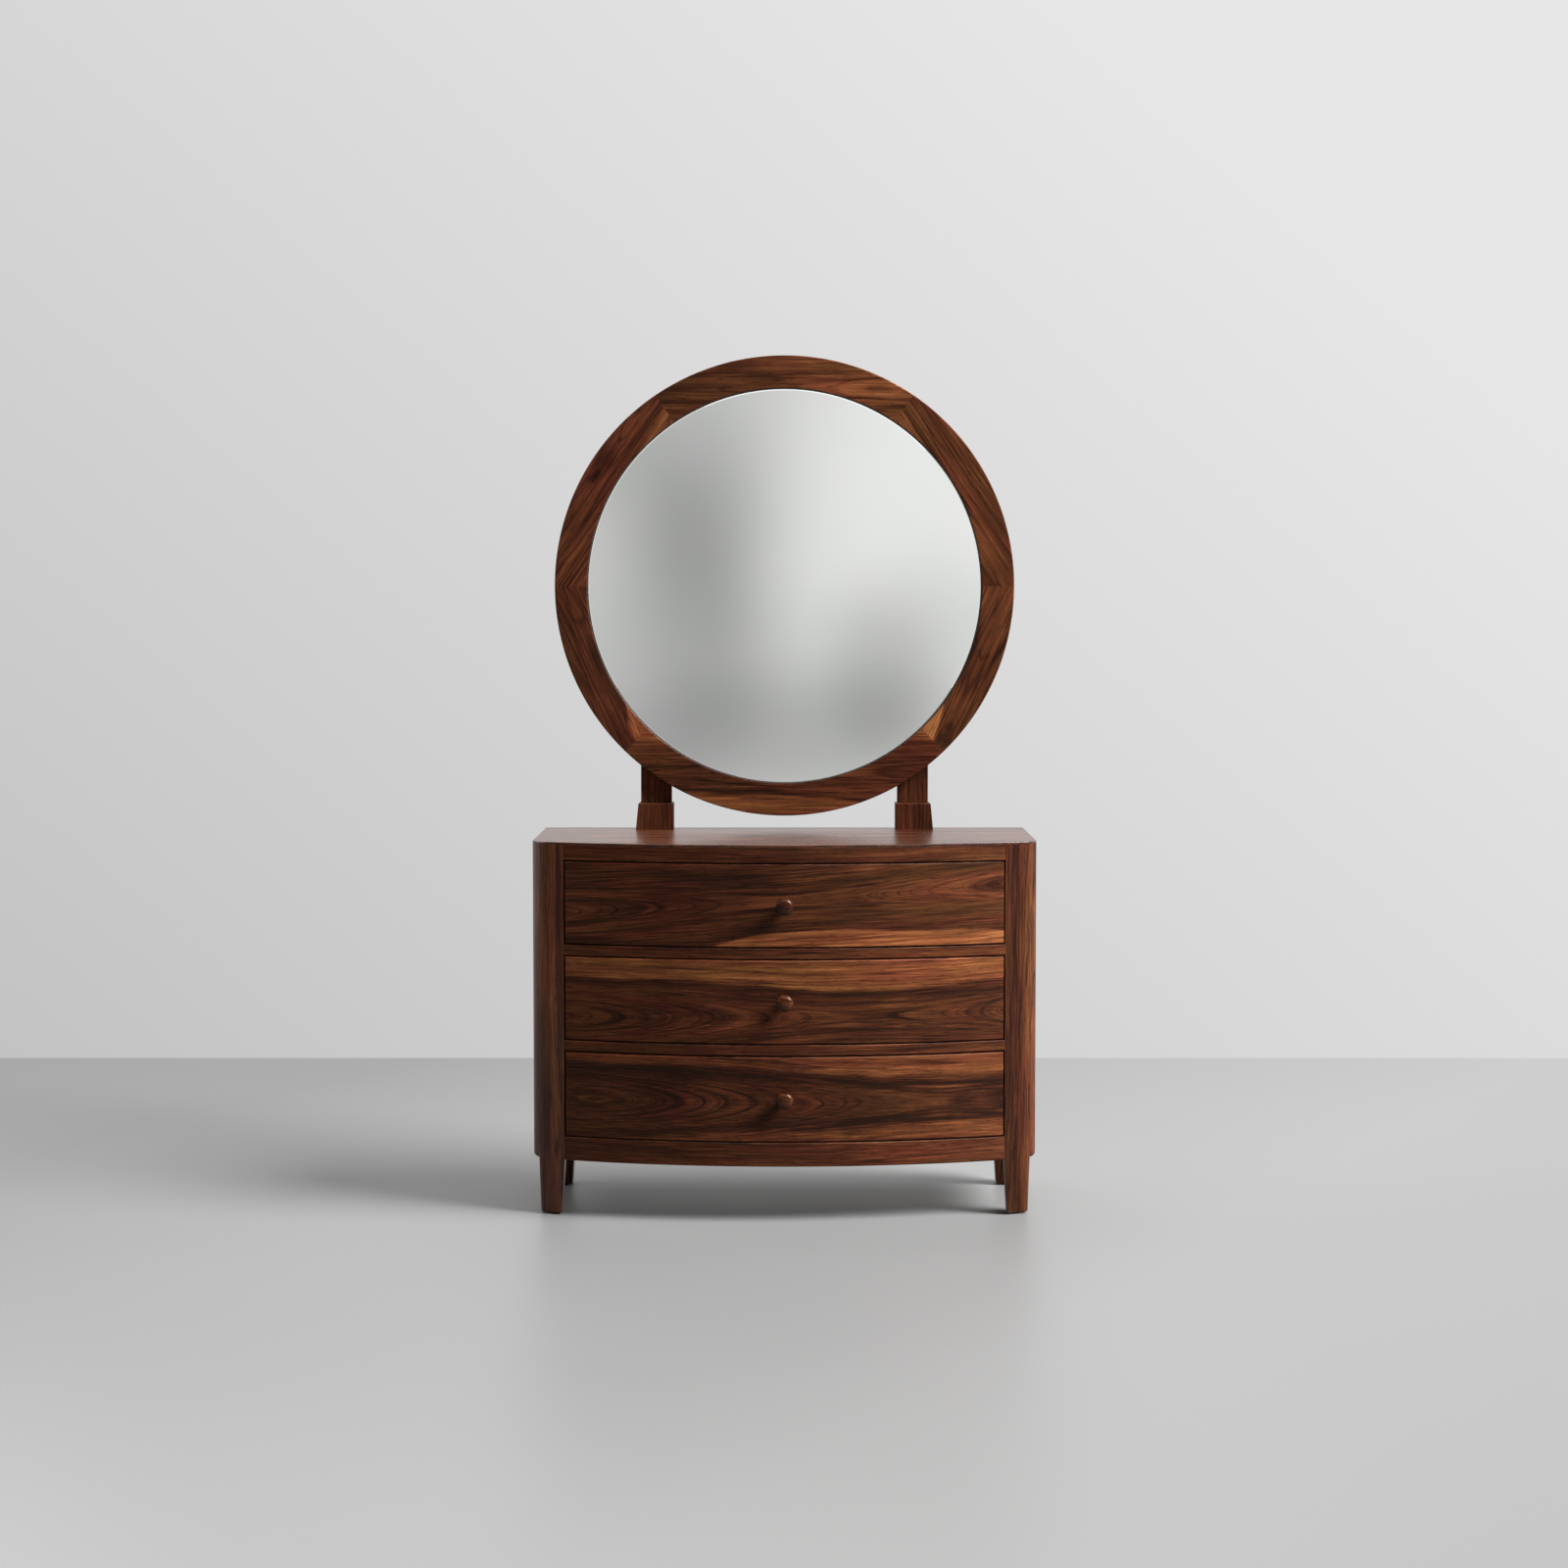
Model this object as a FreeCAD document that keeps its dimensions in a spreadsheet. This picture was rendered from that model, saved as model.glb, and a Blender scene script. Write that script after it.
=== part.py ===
import FreeCAD, Part
import math
import operator
import os

import Sketcher

# A bow-front dressing chest: three drawers in a case of posts, rails and panels, and a round
# mirror that stands behind the table top on two posts. Lengths are millimetres, the front faces
# -Y, +Z is up, and the origin lies on the floor under the middle of the overall box.

DIMENSIONS = (
    ("case_width", 1020, "outside width of the chest"),
    ("case_depth", 412, "depth at the sides, from the post fronts to the back"),
    ("bow_rise", 77, "how far the front bows out at the middle"),
    ("table_height", 756, "floor to table surface"),
    ("leg_height", 112.5, "floor to the underside of the case"),
    ("post_width", 66, "corner post, along the front"),
    ("post_depth", 66, "front corner post, front to back"),
    ("rear_post_depth", 90, "rear corner post, front to back"),
    ("post_round", 44, "round of a front post's outer corner"),
    ("leg_width", 53.5, "leg where it leaves the case"),
    ("leg_round", 14, "round of a leg's outer corner"),
    ("foot_width", 43, "leg at the floor"),
    ("foot_lean", 6.5, "how far a leg's inner face leans outwards by the floor"),
    ("foot_setback", 3, "how far a leg's front leans back by the floor"),
    ("foot_round", 2.5, "easing round the sole of a leg"),
    ("leg_overlap", 14, "how far a leg runs on up inside its post"),
    ("case_underside_round", 9, "round under the outer edge of the case"),
    ("glide_height", 3, "nylon glide under a leg"),
    ("glide_radius", 12, "nylon glide under a leg"),
    ("top_thickness", 20, "table top, inside the case"),
    ("top_lip", 4, "lip of the table top that laps over posts, rails and panels"),
    ("top_round", 1.5, "easing of the table top's upper edge"),
    ("top_band", 35.5, "table surface to the top drawer's opening"),
    ("rail_thickness", 21, "rails between the drawers, and runners"),
    ("apron_height", 47.7, "bent rail under the bottom drawer"),
    ("apron_thickness", 22, "bent rail under the bottom drawer"),
    ("glue_line", 0.3, "gap between the apron and the rail behind it"),
    ("edge_round", 1, "easing of the edges that face the room"),
    ("tenon_length", 16, "tenons of the rails"),
    ("tenon_width", 36, "tenons of the front rails, front to back"),
    ("tenon_setback", 16, "post front to the tenon of a front rail"),
    ("tenon_shoulder", 5, "rail above and below its tenon"),
    ("slim_tenon", 10, "tenons of the apron and of the back rails, front to back"),
    ("panel_thickness", 20, "side panels"),
    ("tongue_thickness", 8, "tongue of a side panel in its posts"),
    ("tongue_depth", 10, "tongue of a side panel in its posts"),
    ("back_rail_thickness", 20, "rails across the back"),
    ("back_rail_height", 60, "rails across the back"),
    ("back_board", 6, "plywood back"),
    ("groove_depth", 8, "groove for the plywood back"),
    ("runner_width", 72, "runner, from the side panel inwards"),
    ("guide_width", 20, "guide strip beside a drawer"),
    ("guide_height", 22, "guide strip beside a drawer"),
    ("guide_gap", 1, "drawer side to guide strip"),
    ("stop_length", 30, "drawer stop, along the front"),
    ("stop_depth", 18, "drawer stop, front to back"),
    ("stop_height", 8, "drawer stop"),
    ("stop_place", 300, "middle of the chest to a drawer stop"),
    ("stop_gap", 0.6, "drawer front to drawer stop"),
    ("drawer_gap", 3, "shadow gap round a drawer front"),
    ("drawer_growth", 2.2, "how much taller a drawer is than the one above it"),
    ("drawer_slip", 0.5, "drawer side above its runner"),
    ("front_thickness", 20, "bowed drawer front"),
    ("front_flat", 16, "flat inside each end of a drawer front, where a side is let in"),
    ("side_thickness", 12, "drawer sides and back"),
    ("side_drop", 18, "drawer side below the top of its opening"),
    ("side_rear", 34, "back of the case to the end of a drawer side"),
    ("tail_length", 10, "dovetails that hold a side in its front"),
    ("tail_flare", 3, "how much a dovetail widens each way"),
    ("tail_share", 0.28, "half of a dovetail's root, as a share of the pitch"),
    ("tail_lift", 20, "lower edge of a drawer side to its dovetails"),
    ("back_setback", 4, "end of a drawer side to the drawer back"),
    ("back_drop", 10, "drawer back below the drawer side"),
    ("drawer_board", 5, "plywood drawer bottom"),
    ("board_lift", 12, "lower edge of a drawer side to the drawer bottom"),
    ("board_groove", 6, "groove for the drawer bottom"),
    ("knob_reach", 28, "drawer front to the face of its knob"),
    ("knob_radius", 17.5, "turned knob"),
    ("knob_neck", 7.5, "turned knob, radius of the neck"),
    ("knob_foot", 9, "turned knob, radius against the drawer front"),
    ("knob_neck_at", 8, "drawer front to the neck"),
    ("knob_rim_at", 16, "drawer front to the widest ring"),
    ("knob_rim", 2, "length of the widest ring"),
    ("bolt_radius", 2, "knob bolt"),
    ("bolt_bite", 18, "how far the bolt goes into the knob"),
    ("bolt_head", 4.5, "radius of the bolt's head"),
    ("bolt_head_height", 3, "bolt's head"),
    ("mirror_height", 1270, "floor to the middle of the mirror"),
    ("frame_radius", 483.5, "outside of the mirror frame"),
    ("sight_radius", 415, "opening of the mirror frame"),
    ("frame_thickness", 22, "mirror frame, front to back"),
    ("frame_lip", 11, "front of the mirror frame to the glass"),
    ("frame_round", 2, "easing of the mirror frame's front edges"),
    ("rebate", 8.5, "frame opening to the wall of the rebate"),
    ("glass_cover", 7, "frame opening to the rim of the glass"),
    ("glass", 5, "mirror glass"),
    ("spline_radius", 444, "mirror axis to a mitre spline"),
    ("spline_width", 28, "mitre spline, across the frame"),
    ("spline_length", 30, "mitre spline, along the frame"),
    ("spline_thickness", 5, "mitre spline"),
    ("upright_inner", 239, "middle of the chest to a mirror post"),
    ("upright_width", 65, "mirror post"),
    ("upright_depth", 30, "mirror post"),
    ("upright_back", 27, "back of the case to a mirror post"),
    ("upright_top", 1643, "floor to the top of a mirror post"),
    ("upright_round", 2, "easing of a mirror post's edges"),
    ("shoe_height", 56, "shoe round the foot of a mirror post"),
    ("shoe_depth", 60, "shoe, front to back"),
    ("shoe_back", 12, "back of the case to a shoe"),
    ("shoe_inner", 4, "shoe beyond the post towards the middle"),
    ("shoe_outer", 10.5, "shoe beyond the post outwards, at the table"),
    ("shoe_outer_top", 5, "shoe beyond the post outwards, at its top"),
    ("shoe_round", 2.5, "easing of the shoe's upper edge"),
    ("clip_length", 34, "steel clip that holds the mirror's back board"),
    ("clip_width", 14, "steel clip"),
    ("clip_thickness", 1.5, "steel clip"),
    ("clip_radius", 409, "mirror axis to the inner end of a clip"),
    ("clip_screw_at", 436, "mirror axis to a clip screw"),
)

# Turns of the mirror frame's six mitres and of its clips, in degrees from +X towards +Z.
MITRES = (56, 124, 180, 226, 314, 360)
SEGMENTS = ("top", "upper_left", "lower_left", "bottom", "lower_right", "upper_right")
CLIP_TURNS = (20, 90, 160, 200, 270, 340)
# Screws that hold the frame to a mirror post: distance from the mirror axis, turn from level.
FRAME_SCREWS = ((452, 50.5), (446, 53.2))
# Each wood screw: head radius, head height, shank radius, length.
TOP_SCREW = (4, 3, 2, 25)
FRAME_SCREW = (5, 4, 2.5, 45)
POST_SCREW = (6, 3, 3, 80)
CLIP_SCREW = (3.5, 2, 1.75, 14)
TOP_SCREW_DEPTHS = (-40, 140)
POST_SCREW_SPREAD = 16
DRAWERS = ("bottom", "middle", "top")
TAILS = 3
FULL_TURN = 360

doc = FreeCAD.newDocument("dressing_chest")
sheet = doc.addObject("Spreadsheet::Sheet", "Dims")
nodes = []


# Sizes that carry their own expression

OPERATIONS = {"+": operator.add, "-": operator.sub, "*": operator.mul, "/": operator.truediv}


class Size:
    """A length worked out from the sheet: its number now, and the expression that binds it."""

    def __init__(self, number, text):
        self.number = number
        self.text = text

    def __add__(self, other):
        return combine(self, "+", other)

    def __radd__(self, other):
        return combine(other, "+", self)

    def __sub__(self, other):
        return combine(self, "-", other)

    def __rsub__(self, other):
        return combine(other, "-", self)

    def __mul__(self, other):
        return combine(self, "*", other)

    def __rmul__(self, other):
        return combine(other, "*", self)

    def __truediv__(self, other):
        return combine(self, "/", other)

    def __neg__(self):
        return combine(-1, "*", self)


def as_size(value):
    return value if isinstance(value, Size) else Size(float(value), repr(float(value)))


def combine(left, sign, right):
    left = as_size(left)
    right = as_size(right)
    number = OPERATIONS[sign](left.number, right.number)
    return Size(number, f"({left.text} {sign} {right.text})")


def root(square):
    return Size(math.sqrt(square.number), f"sqrt({square.text})")


def polar(distance, turn):
    """The (x, z) offset at a distance from the mirror axis, at a turn in degrees."""
    angle = math.radians(turn)
    return distance * math.cos(angle), distance * math.sin(angle)


def fill_sheet():
    for row, (alias, number, note) in enumerate(DIMENSIONS, start=1):
        sheet.set(f"A{row}", note)
        sheet.set(f"B{row}", str(number))
        sheet.setAlias(f"B{row}", alias)
    doc.recompute()
    return {alias: Size(float(number), f"Dims.{alias}") for alias, number, _ in DIMENSIONS}


# Sketches and the features made from them

PLANES = {"XY": ("XY_Plane", "z", False), "YZ": ("YZ_Plane", "x", False), "XZ": ("XZ_Plane", "y", True)}
START, END = 1, 2


def bind(item, path, size):
    item.setExpression(path, as_size(size).text)


def arc_between(p, q, radius):
    """An arc from p to q, and which of its ends is at p and at q. The arc bulges to the right
    of the way from p to q if its radius is positive, and to the left if it is negative."""
    chord = q - p
    left = FreeCAD.Vector(-chord.y, chord.x, 0).normalize()
    sign = 1 if radius > 0 else -1
    height = math.sqrt(radius * radius - chord.Length * chord.Length / 4)
    centre = (p + q) / 2 + left * height * sign
    first, last = (p, q) if radius > 0 else (q, p)
    turns = [math.atan2(end.y - centre.y, end.x - centre.x) for end in (first, last)]
    circle = Part.Circle(centre, FreeCAD.Vector(0, 0, 1), abs(radius))
    ends = (START, END) if radius > 0 else (END, START)
    return Part.ArcOfCircle(circle, *turns), ends


def outline(sketch, corners):
    """Draws a closed outline. A corner is (x, y), or (x, y, radius) where an arc leads on."""
    points = [FreeCAD.Vector(as_size(c[0]).number, as_size(c[1]).number, 0) for c in corners]
    edges = []
    for i, corner in enumerate(corners):
        p, q = points[i], points[(i + 1) % len(points)]
        if len(corner) == 3:
            radius = as_size(corner[2])
            shape, ends = arc_between(p, q, radius.number)
            edge = sketch.addGeometry(shape, False)
            turn = sketch.addConstraint(Sketcher.Constraint("Radius", edge, abs(radius.number)))
            bind(sketch, f"Constraints[{turn}]", radius if radius.number > 0 else -radius)
        else:
            ends = (START, END)
            edge = sketch.addGeometry(Part.LineSegment(p, q), False)
        edges.append((edge, *ends))
    for i, corner in enumerate(corners):
        edge, start, end = edges[i]
        following = edges[(i + 1) % len(edges)]
        sketch.addConstraint(Sketcher.Constraint("Coincident", edge, end, following[0], following[1]))
        for axis, value in (("DistanceX", corner[0]), ("DistanceY", corner[1])):
            number = as_size(value).number
            place = sketch.addConstraint(Sketcher.Constraint(axis, edge, start, number))
            bind(sketch, f"Constraints[{place}]", value)


def sketch_in(body, plane, corners, offset=None):
    role = PLANES[plane][0]
    support = next(f for f in body.Origin.OriginFeatures if f.Role == role)
    sketch = body.newObject("Sketcher::SketchObject", f"{body.Name}_outline")
    sketch.AttachmentSupport = [(support, "")]
    sketch.MapMode = "FlatFace"
    outline(sketch, corners)
    if offset is not None:
        bind(sketch, "AttachmentOffset.Base.z", offset)
    doc.recompute()
    return sketch


def feature(body, kind, profile):
    made = body.newObject(f"PartDesign::{kind}", f"{body.Name}_{kind.lower()}")
    made.Profile = profile
    body.Tip = made
    return made


def extrude(label, plane, corners, low, high):
    """A body padded from an outline in a plane, between two places along that plane's normal."""
    body = doc.addObject("PartDesign::Body", label)
    _, axis, flipped = PLANES[plane]
    pad = feature(body, "Pad", sketch_in(body, plane, corners))
    pad.Reversed = flipped
    bind(pad, "Length", high - low)
    bind(body, f"Placement.Base.{axis}", low)
    doc.recompute()
    return body


def revolve(label, corners, turn=FULL_TURN):
    """A body turned about its own Y axis from an outline in its XY plane."""
    body = doc.addObject("PartDesign::Body", label)
    sketch = sketch_in(body, "XY", corners)
    turned = feature(body, "Revolution", sketch)
    turned.ReferenceAxis = (sketch, ["V_Axis"])
    turned.Reversed = True
    turned.Angle = turn
    doc.recompute()
    return body


def ease(body, radius, wanted):
    """Rounds the edges of a body that a test on the edge picks out."""
    doc.recompute()
    before = body.Tip
    edges = [f"Edge{i}" for i, edge in enumerate(before.Shape.Edges, start=1) if wanted(edge)]
    made = body.newObject("PartDesign::Fillet", f"{body.Name}_ease")
    made.Base = (before, edges)
    bind(made, "Radius", radius)
    body.Tip = made
    doc.recompute()


def at_height(edge, height):
    box = edge.BoundBox
    return abs(box.ZMin - height) < 0.01 and abs(box.ZMax - height) < 0.01


def place(item, **places):
    for axis, size in places.items():
        bind(item, f"Placement.Base.{axis}", size)
    return item


def turn_about_mirror(body, turn, depth):
    """Hangs a body that was drawn about the Y axis on the mirror axis, turned towards +Z."""
    body.Placement = FreeCAD.Placement(FreeCAD.Vector(), FreeCAD.Rotation(FreeCAD.Vector(0, -1, 0), turn))
    return place(body, y=depth, z=D["mirror_height"])


# Boards and booleans


def block(label, x, y, z):
    """A board between two places on each axis."""
    board = doc.addObject("Part::Box", label)
    for side, axis, (low, high) in zip(("Length", "Width", "Height"), "xyz", (x, y, z)):
        bind(board, side, high - low)
        bind(board, f"Placement.Base.{axis}", low)
    return board


def group(label, pieces):
    made = doc.addObject("Part::Compound", label)
    made.Links = list(pieces)
    return made


def cut(label, base, *tools):
    """Takes each tool away in turn."""
    for tool in tools:
        made = doc.addObject("Part::Cut", f"{label}_cut")
        made.Base = base
        made.Tool = tool
        made.Refine = False
        base = made
    return base


def join(label, *pieces):
    made = doc.addObject("Part::MultiFuse", label)
    made.Shapes = list(pieces)
    made.Refine = True
    return made


def mirrored(label, source):
    made = doc.addObject("Part::Mirroring", label)
    made.Source = source
    made.Normal = (1, 0, 0)
    return made


def keep(label, item):
    """Names a finished piece: its label is the name of its file."""
    item.Label = label
    nodes.append(item)
    return item


def screw(label, kind):
    """A screw along +Y with its head's underside at the origin and its shank towards -Y."""
    head_radius, head_height, shank_radius, length = kind
    return revolve(label, (
        (0, -length),
        (shank_radius, -length),
        (shank_radius, 0),
        (head_radius, 0),
        (head_radius, head_height),
        (0, head_height),
    ))


D = fill_sheet()

# Places that several pieces share

half = D["case_width"] / 2
opening = half - D["post_width"]
back = (D["case_depth"] + D["bow_rise"] + D["knob_reach"]) / 2
front = back - D["case_depth"]
bow_front = front - D["bow_rise"]
bow_radius = (opening * opening + D["bow_rise"] * D["bow_rise"]) / (2 * D["bow_rise"])
bow_centre = bow_front + bow_radius
sine = opening / bow_radius
cosine = (bow_radius - D["bow_rise"]) / bow_radius
post_back = front + D["post_depth"]
rear_post_front = back - D["rear_post_depth"]
case_top = D["table_height"] - D["top_lip"]
core_bottom = D["table_height"] - D["top_thickness"]
drawers_base = D["leg_height"] + D["apron_height"]
drawers_top = D["table_height"] - D["top_band"]
drawer_space = (drawers_top - drawers_base - 2 * D["rail_thickness"]) / len(DRAWERS)
back_rail_front = back - D["back_rail_thickness"]
upright_back = back - D["upright_back"]
frame_back = upright_back - D["upright_depth"]
frame_front = frame_back - D["frame_thickness"]


def bow_at(x, inset):
    """How far forward the bow is at x, for an arc that lies inset behind the front."""
    radius = bow_radius - inset
    return bow_centre - root(radius * radius - x * x)


def space(level):
    """The height of a drawer's opening, counted up from the bottom drawer, which is the tallest."""
    return drawer_space + (1 - level) * D["drawer_growth"]


def sill(level):
    """The floor of a drawer's opening."""
    return drawers_base + sum((space(below) + D["rail_thickness"] for below in range(level)), as_size(0))


# Corner posts


def corner_plan(inner, near, width, depth, corner):
    """A post from above: it follows the end of the bow, then turns a rounded corner."""
    run = (width - corner * (1 - sine)) / cosine
    return (
        (inner, near),
        (inner + run * cosine, near + run * sine, corner),
        (inner + width, near + run * sine + corner * cosine),
        (inner + width, near + depth),
        (inner, near + depth),
    )


def square_plan(inner, near, width, depth):
    return (
        (inner, near),
        (inner + width, near),
        (inner + width, near + depth),
        (inner, near + depth),
    )


def post_body(label, plan, leg_plan, foot_plan):
    """A post from the case's underside to its top, with a leg that tapers to the floor."""
    body = extrude(label, "XY", plan, D["leg_height"], case_top)

    def outer_underside(edge):
        return at_height(edge, 0) and edge.BoundBox.XMax > half.number - 1

    ease(body, D["case_underside_round"], outer_underside)
    stub = feature(body, "Pad", sketch_in(body, "XY", leg_plan))
    bind(stub, "Length", D["leg_overlap"])
    leg = feature(body, "AdditiveLoft", sketch_in(body, "XY", leg_plan))
    leg.Sections = [sketch_in(body, "XY", foot_plan, D["glide_height"] - D["leg_height"])]
    leg.Ruled = True
    sole = D["glide_height"].number - D["leg_height"].number
    ease(body, D["foot_round"], lambda edge: at_height(edge, sole))
    return body


foot_inner = opening + D["foot_lean"]
front_leg = corner_plan(opening, front, D["leg_width"], D["leg_width"], D["leg_round"])
foot_front = front + D["foot_setback"]
front_foot = corner_plan(foot_inner, foot_front, D["foot_width"], D["foot_width"], D["leg_round"])
rear_foot_front = rear_post_front + D["foot_setback"]
front_post = post_body(
    "front_post",
    corner_plan(opening, front, D["post_width"], D["post_depth"], D["post_round"]),
    front_leg,
    front_foot,
)
rear_post = post_body(
    "rear_post",
    square_plan(opening, rear_post_front, D["post_width"], D["rear_post_depth"]),
    square_plan(opening, rear_post_front, D["leg_width"], D["leg_width"]),
    square_plan(foot_inner, rear_foot_front, D["foot_width"], D["foot_width"]),
)

# Side panels, with a tongue along each upright edge

panel_inner = half - D["panel_thickness"]
tongue_inner = half - (D["panel_thickness"] + D["tongue_thickness"]) / 2
tongue_outer = tongue_inner + D["tongue_thickness"]
panel_front = post_back - D["tongue_depth"]
panel_rear = rear_post_front + D["tongue_depth"]
side_panel = extrude("side_panel", "XY", (
    (panel_inner, post_back),
    (tongue_inner, post_back),
    (tongue_inner, panel_front),
    (tongue_outer, panel_front),
    (tongue_outer, post_back),
    (half, post_back),
    (half, rear_post_front),
    (tongue_outer, rear_post_front),
    (tongue_outer, panel_rear),
    (tongue_inner, panel_rear),
    (tongue_inner, rear_post_front),
    (panel_inner, rear_post_front),
), D["leg_height"], case_top)


def panel_underside(edge):
    box = edge.BoundBox
    return at_height(edge, 0) and box.XMin > half.number - 0.01


ease(side_panel, D["case_underside_round"], panel_underside)

# Front rails: boards with a bowed front edge and a tenon at each end


def ease_front(body):
    """Eases the upper and lower edge of a bowed front face."""
    bow_ends = bow_at(opening, 0).number + 1

    def bowed(edge):
        box = edge.BoundBox
        return box.ZLength < 0.01 and box.YMin < front.number - 1 and box.YMax < bow_ends

    ease(body, D["edge_round"], bowed)


def tenons(label, y, z):
    right = block(f"{label}_tenon", (opening, opening + D["tenon_length"]), y, z)
    left = block(f"{label}_tenon", (-opening - D["tenon_length"], -opening), y, z)
    return right, left


def bowed_board(label, inset, low, high):
    radius = bow_radius - inset
    return extrude(label, "XY", (
        (-opening, bow_at(opening, inset), radius),
        (opening, bow_at(opening, inset)),
        (opening, post_back),
        (-opening, post_back),
    ), low, high)


tenon_front = front + D["tenon_setback"]
rail_tenon = (tenon_front, tenon_front + D["tenon_width"])
rail_heights = {
    "top_rail": (drawers_top, case_top),
    "drawer_rail_upper": (sill(2) - D["rail_thickness"], sill(2)),
    "drawer_rail_lower": (sill(1) - D["rail_thickness"], sill(1)),
}
post_tenons = []
for name, (low, high) in rail_heights.items():
    board = bowed_board(f"{name}_board", 0, low, high)
    ease_front(board)
    ends = tenons(name, rail_tenon, (low + D["tenon_shoulder"], high - D["tenon_shoulder"]))
    post_tenons.append(ends[0])
    keep(name, join(name, board, *ends))

rail_inset = D["apron_thickness"] + D["glue_line"]
bottom_rail = bowed_board("bottom_rail", rail_inset, drawers_base - D["rail_thickness"], drawers_base)
keep("bottom_rail", bottom_rail)

apron_inner = D["apron_thickness"]
apron_board = extrude("apron_board", "XY", (
    (-opening, bow_at(opening, 0), bow_radius),
    (opening, bow_at(opening, 0)),
    (opening, bow_at(opening, apron_inner), -(bow_radius - apron_inner)),
    (-opening, bow_at(opening, apron_inner)),
), D["leg_height"], drawers_base)
ease_front(apron_board)
apron_tenon_front = front + D["tenon_shoulder"]
apron_ends = tenons(
    "apron",
    (apron_tenon_front, apron_tenon_front + D["slim_tenon"]),
    (D["leg_height"] + D["tenon_shoulder"], drawers_base - D["tenon_shoulder"]),
)
post_tenons.append(apron_ends[0])
keep("apron", join("apron", apron_board, *apron_ends))

# Back of the case: two rails and a plywood panel in grooves

back_tenon_front = back_rail_front + D["tenon_shoulder"]
back_tenon = (back_tenon_front, back_tenon_front + D["slim_tenon"])
board_front = back_rail_front + (D["back_rail_thickness"] - D["back_board"]) / 2
back_rails = {
    "back_rail_bottom": D["leg_height"] + D["rail_thickness"],
    "back_rail_top": case_top - D["back_rail_height"],
}
lower_rail_top = back_rails["back_rail_bottom"] + D["back_rail_height"]
upper_rail_bottom = back_rails["back_rail_top"]
back_panel = block(
    "back_panel",
    (-opening - D["groove_depth"], opening + D["groove_depth"]),
    (board_front, board_front + D["back_board"]),
    (lower_rail_top - D["groove_depth"], upper_rail_bottom + D["groove_depth"]),
)
keep("back_panel", back_panel)
back_tenons = []
for name, low in back_rails.items():
    high = low + D["back_rail_height"]
    board = block(f"{name}_board", (-opening, opening), (back_rail_front, back), (low, high))
    clear = D["tenon_shoulder"] + D["groove_depth"]
    ends = tenons(name, back_tenon, (low + clear, high - clear))
    back_tenons.append(ends[0])
    keep(name, cut(name, join(f"{name}_blank", board, *ends), back_panel))

right_post = cut("front_post_right", front_post, side_panel, *post_tenons)
right_rear = cut("rear_post_right", rear_post, side_panel, back_panel, *back_tenons)
keep("front_post_right", right_post)
keep("front_post_left", mirrored("front_post_left", right_post))
keep("rear_post_right", right_rear)
keep("rear_post_left", mirrored("rear_post_left", right_rear))
keep("side_panel_right", side_panel)
keep("side_panel_left", mirrored("side_panel_left", side_panel))

# Runners, guides and stops for the drawers, and kickers above the top drawer

runner_inner = panel_inner - D["runner_width"]
along = (post_back, rear_post_front)


def both_sides(label, y, x, z):
    return [block(label, x, y, z), block(label, (-x[1], -x[0]), y, z)]


guide_inner = opening - D["drawer_gap"] + D["guide_gap"]
guide_span = (guide_inner, guide_inner + D["guide_width"])
stop_outer = D["stop_place"] + D["stop_length"] / 2
stop_front = bow_at(stop_outer, D["front_thickness"]) + D["stop_gap"]
runners = []
guides = []
stops = []
for level in range(len(DRAWERS)):
    floor = sill(level)
    runners += both_sides("runner", along, (runner_inner, panel_inner), (floor - D["rail_thickness"], floor))
    guides += both_sides("guide", along, guide_span, (floor, floor + D["guide_height"]))
    stops += both_sides(
        "stop",
        (stop_front, stop_front + D["stop_depth"]),
        (stop_outer - D["stop_length"], stop_outer),
        (floor, floor + D["stop_height"]),
    )
keep("drawer_runners", group("drawer_runners", runners))
keep("drawer_guides", group("drawer_guides", guides))
keep("drawer_stops", group("drawer_stops", stops))
kicker_pair = both_sides("kicker", along, (runner_inner, panel_inner), (drawers_top, core_bottom))
kickers = group("kickers", kicker_pair)

# Table top: a thin lip over the whole case, and a core that sits down inside the frame

run = (D["post_width"] - D["post_round"] * (1 - sine)) / cosine
turn_x = opening + run * cosine
turn_y = front + run * sine
side_y = turn_y + D["post_round"] * cosine
top_board = extrude("top_board", "XY", (
    (-half, side_y, D["post_round"]),
    (-turn_x, turn_y),
    (-opening, front, bow_radius),
    (opening, front),
    (turn_x, turn_y, D["post_round"]),
    (half, side_y),
    (half, back),
    (-half, back),
), case_top, D["table_height"])
ease(top_board, D["top_round"], lambda edge: at_height(edge, D["top_lip"].number))
core = feature(top_board, "Pad", sketch_in(top_board, "XY", (
    (-opening, post_back),
    (opening, post_back),
    (opening, back_rail_front),
    (-opening, back_rail_front),
)))
core.Reversed = True
bind(core, "Length", case_top - core_bottom)

UP = FreeCAD.Rotation(FreeCAD.Vector(1, 0, 0), -90)


def upward(body, x, y, z):
    """Stands a screw up, with its head's underside at the place given and its tip above."""
    body.Placement = FreeCAD.Placement(FreeCAD.Vector(), UP)
    return place(body, x=as_size(x), y=as_size(y), z=z)


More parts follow.
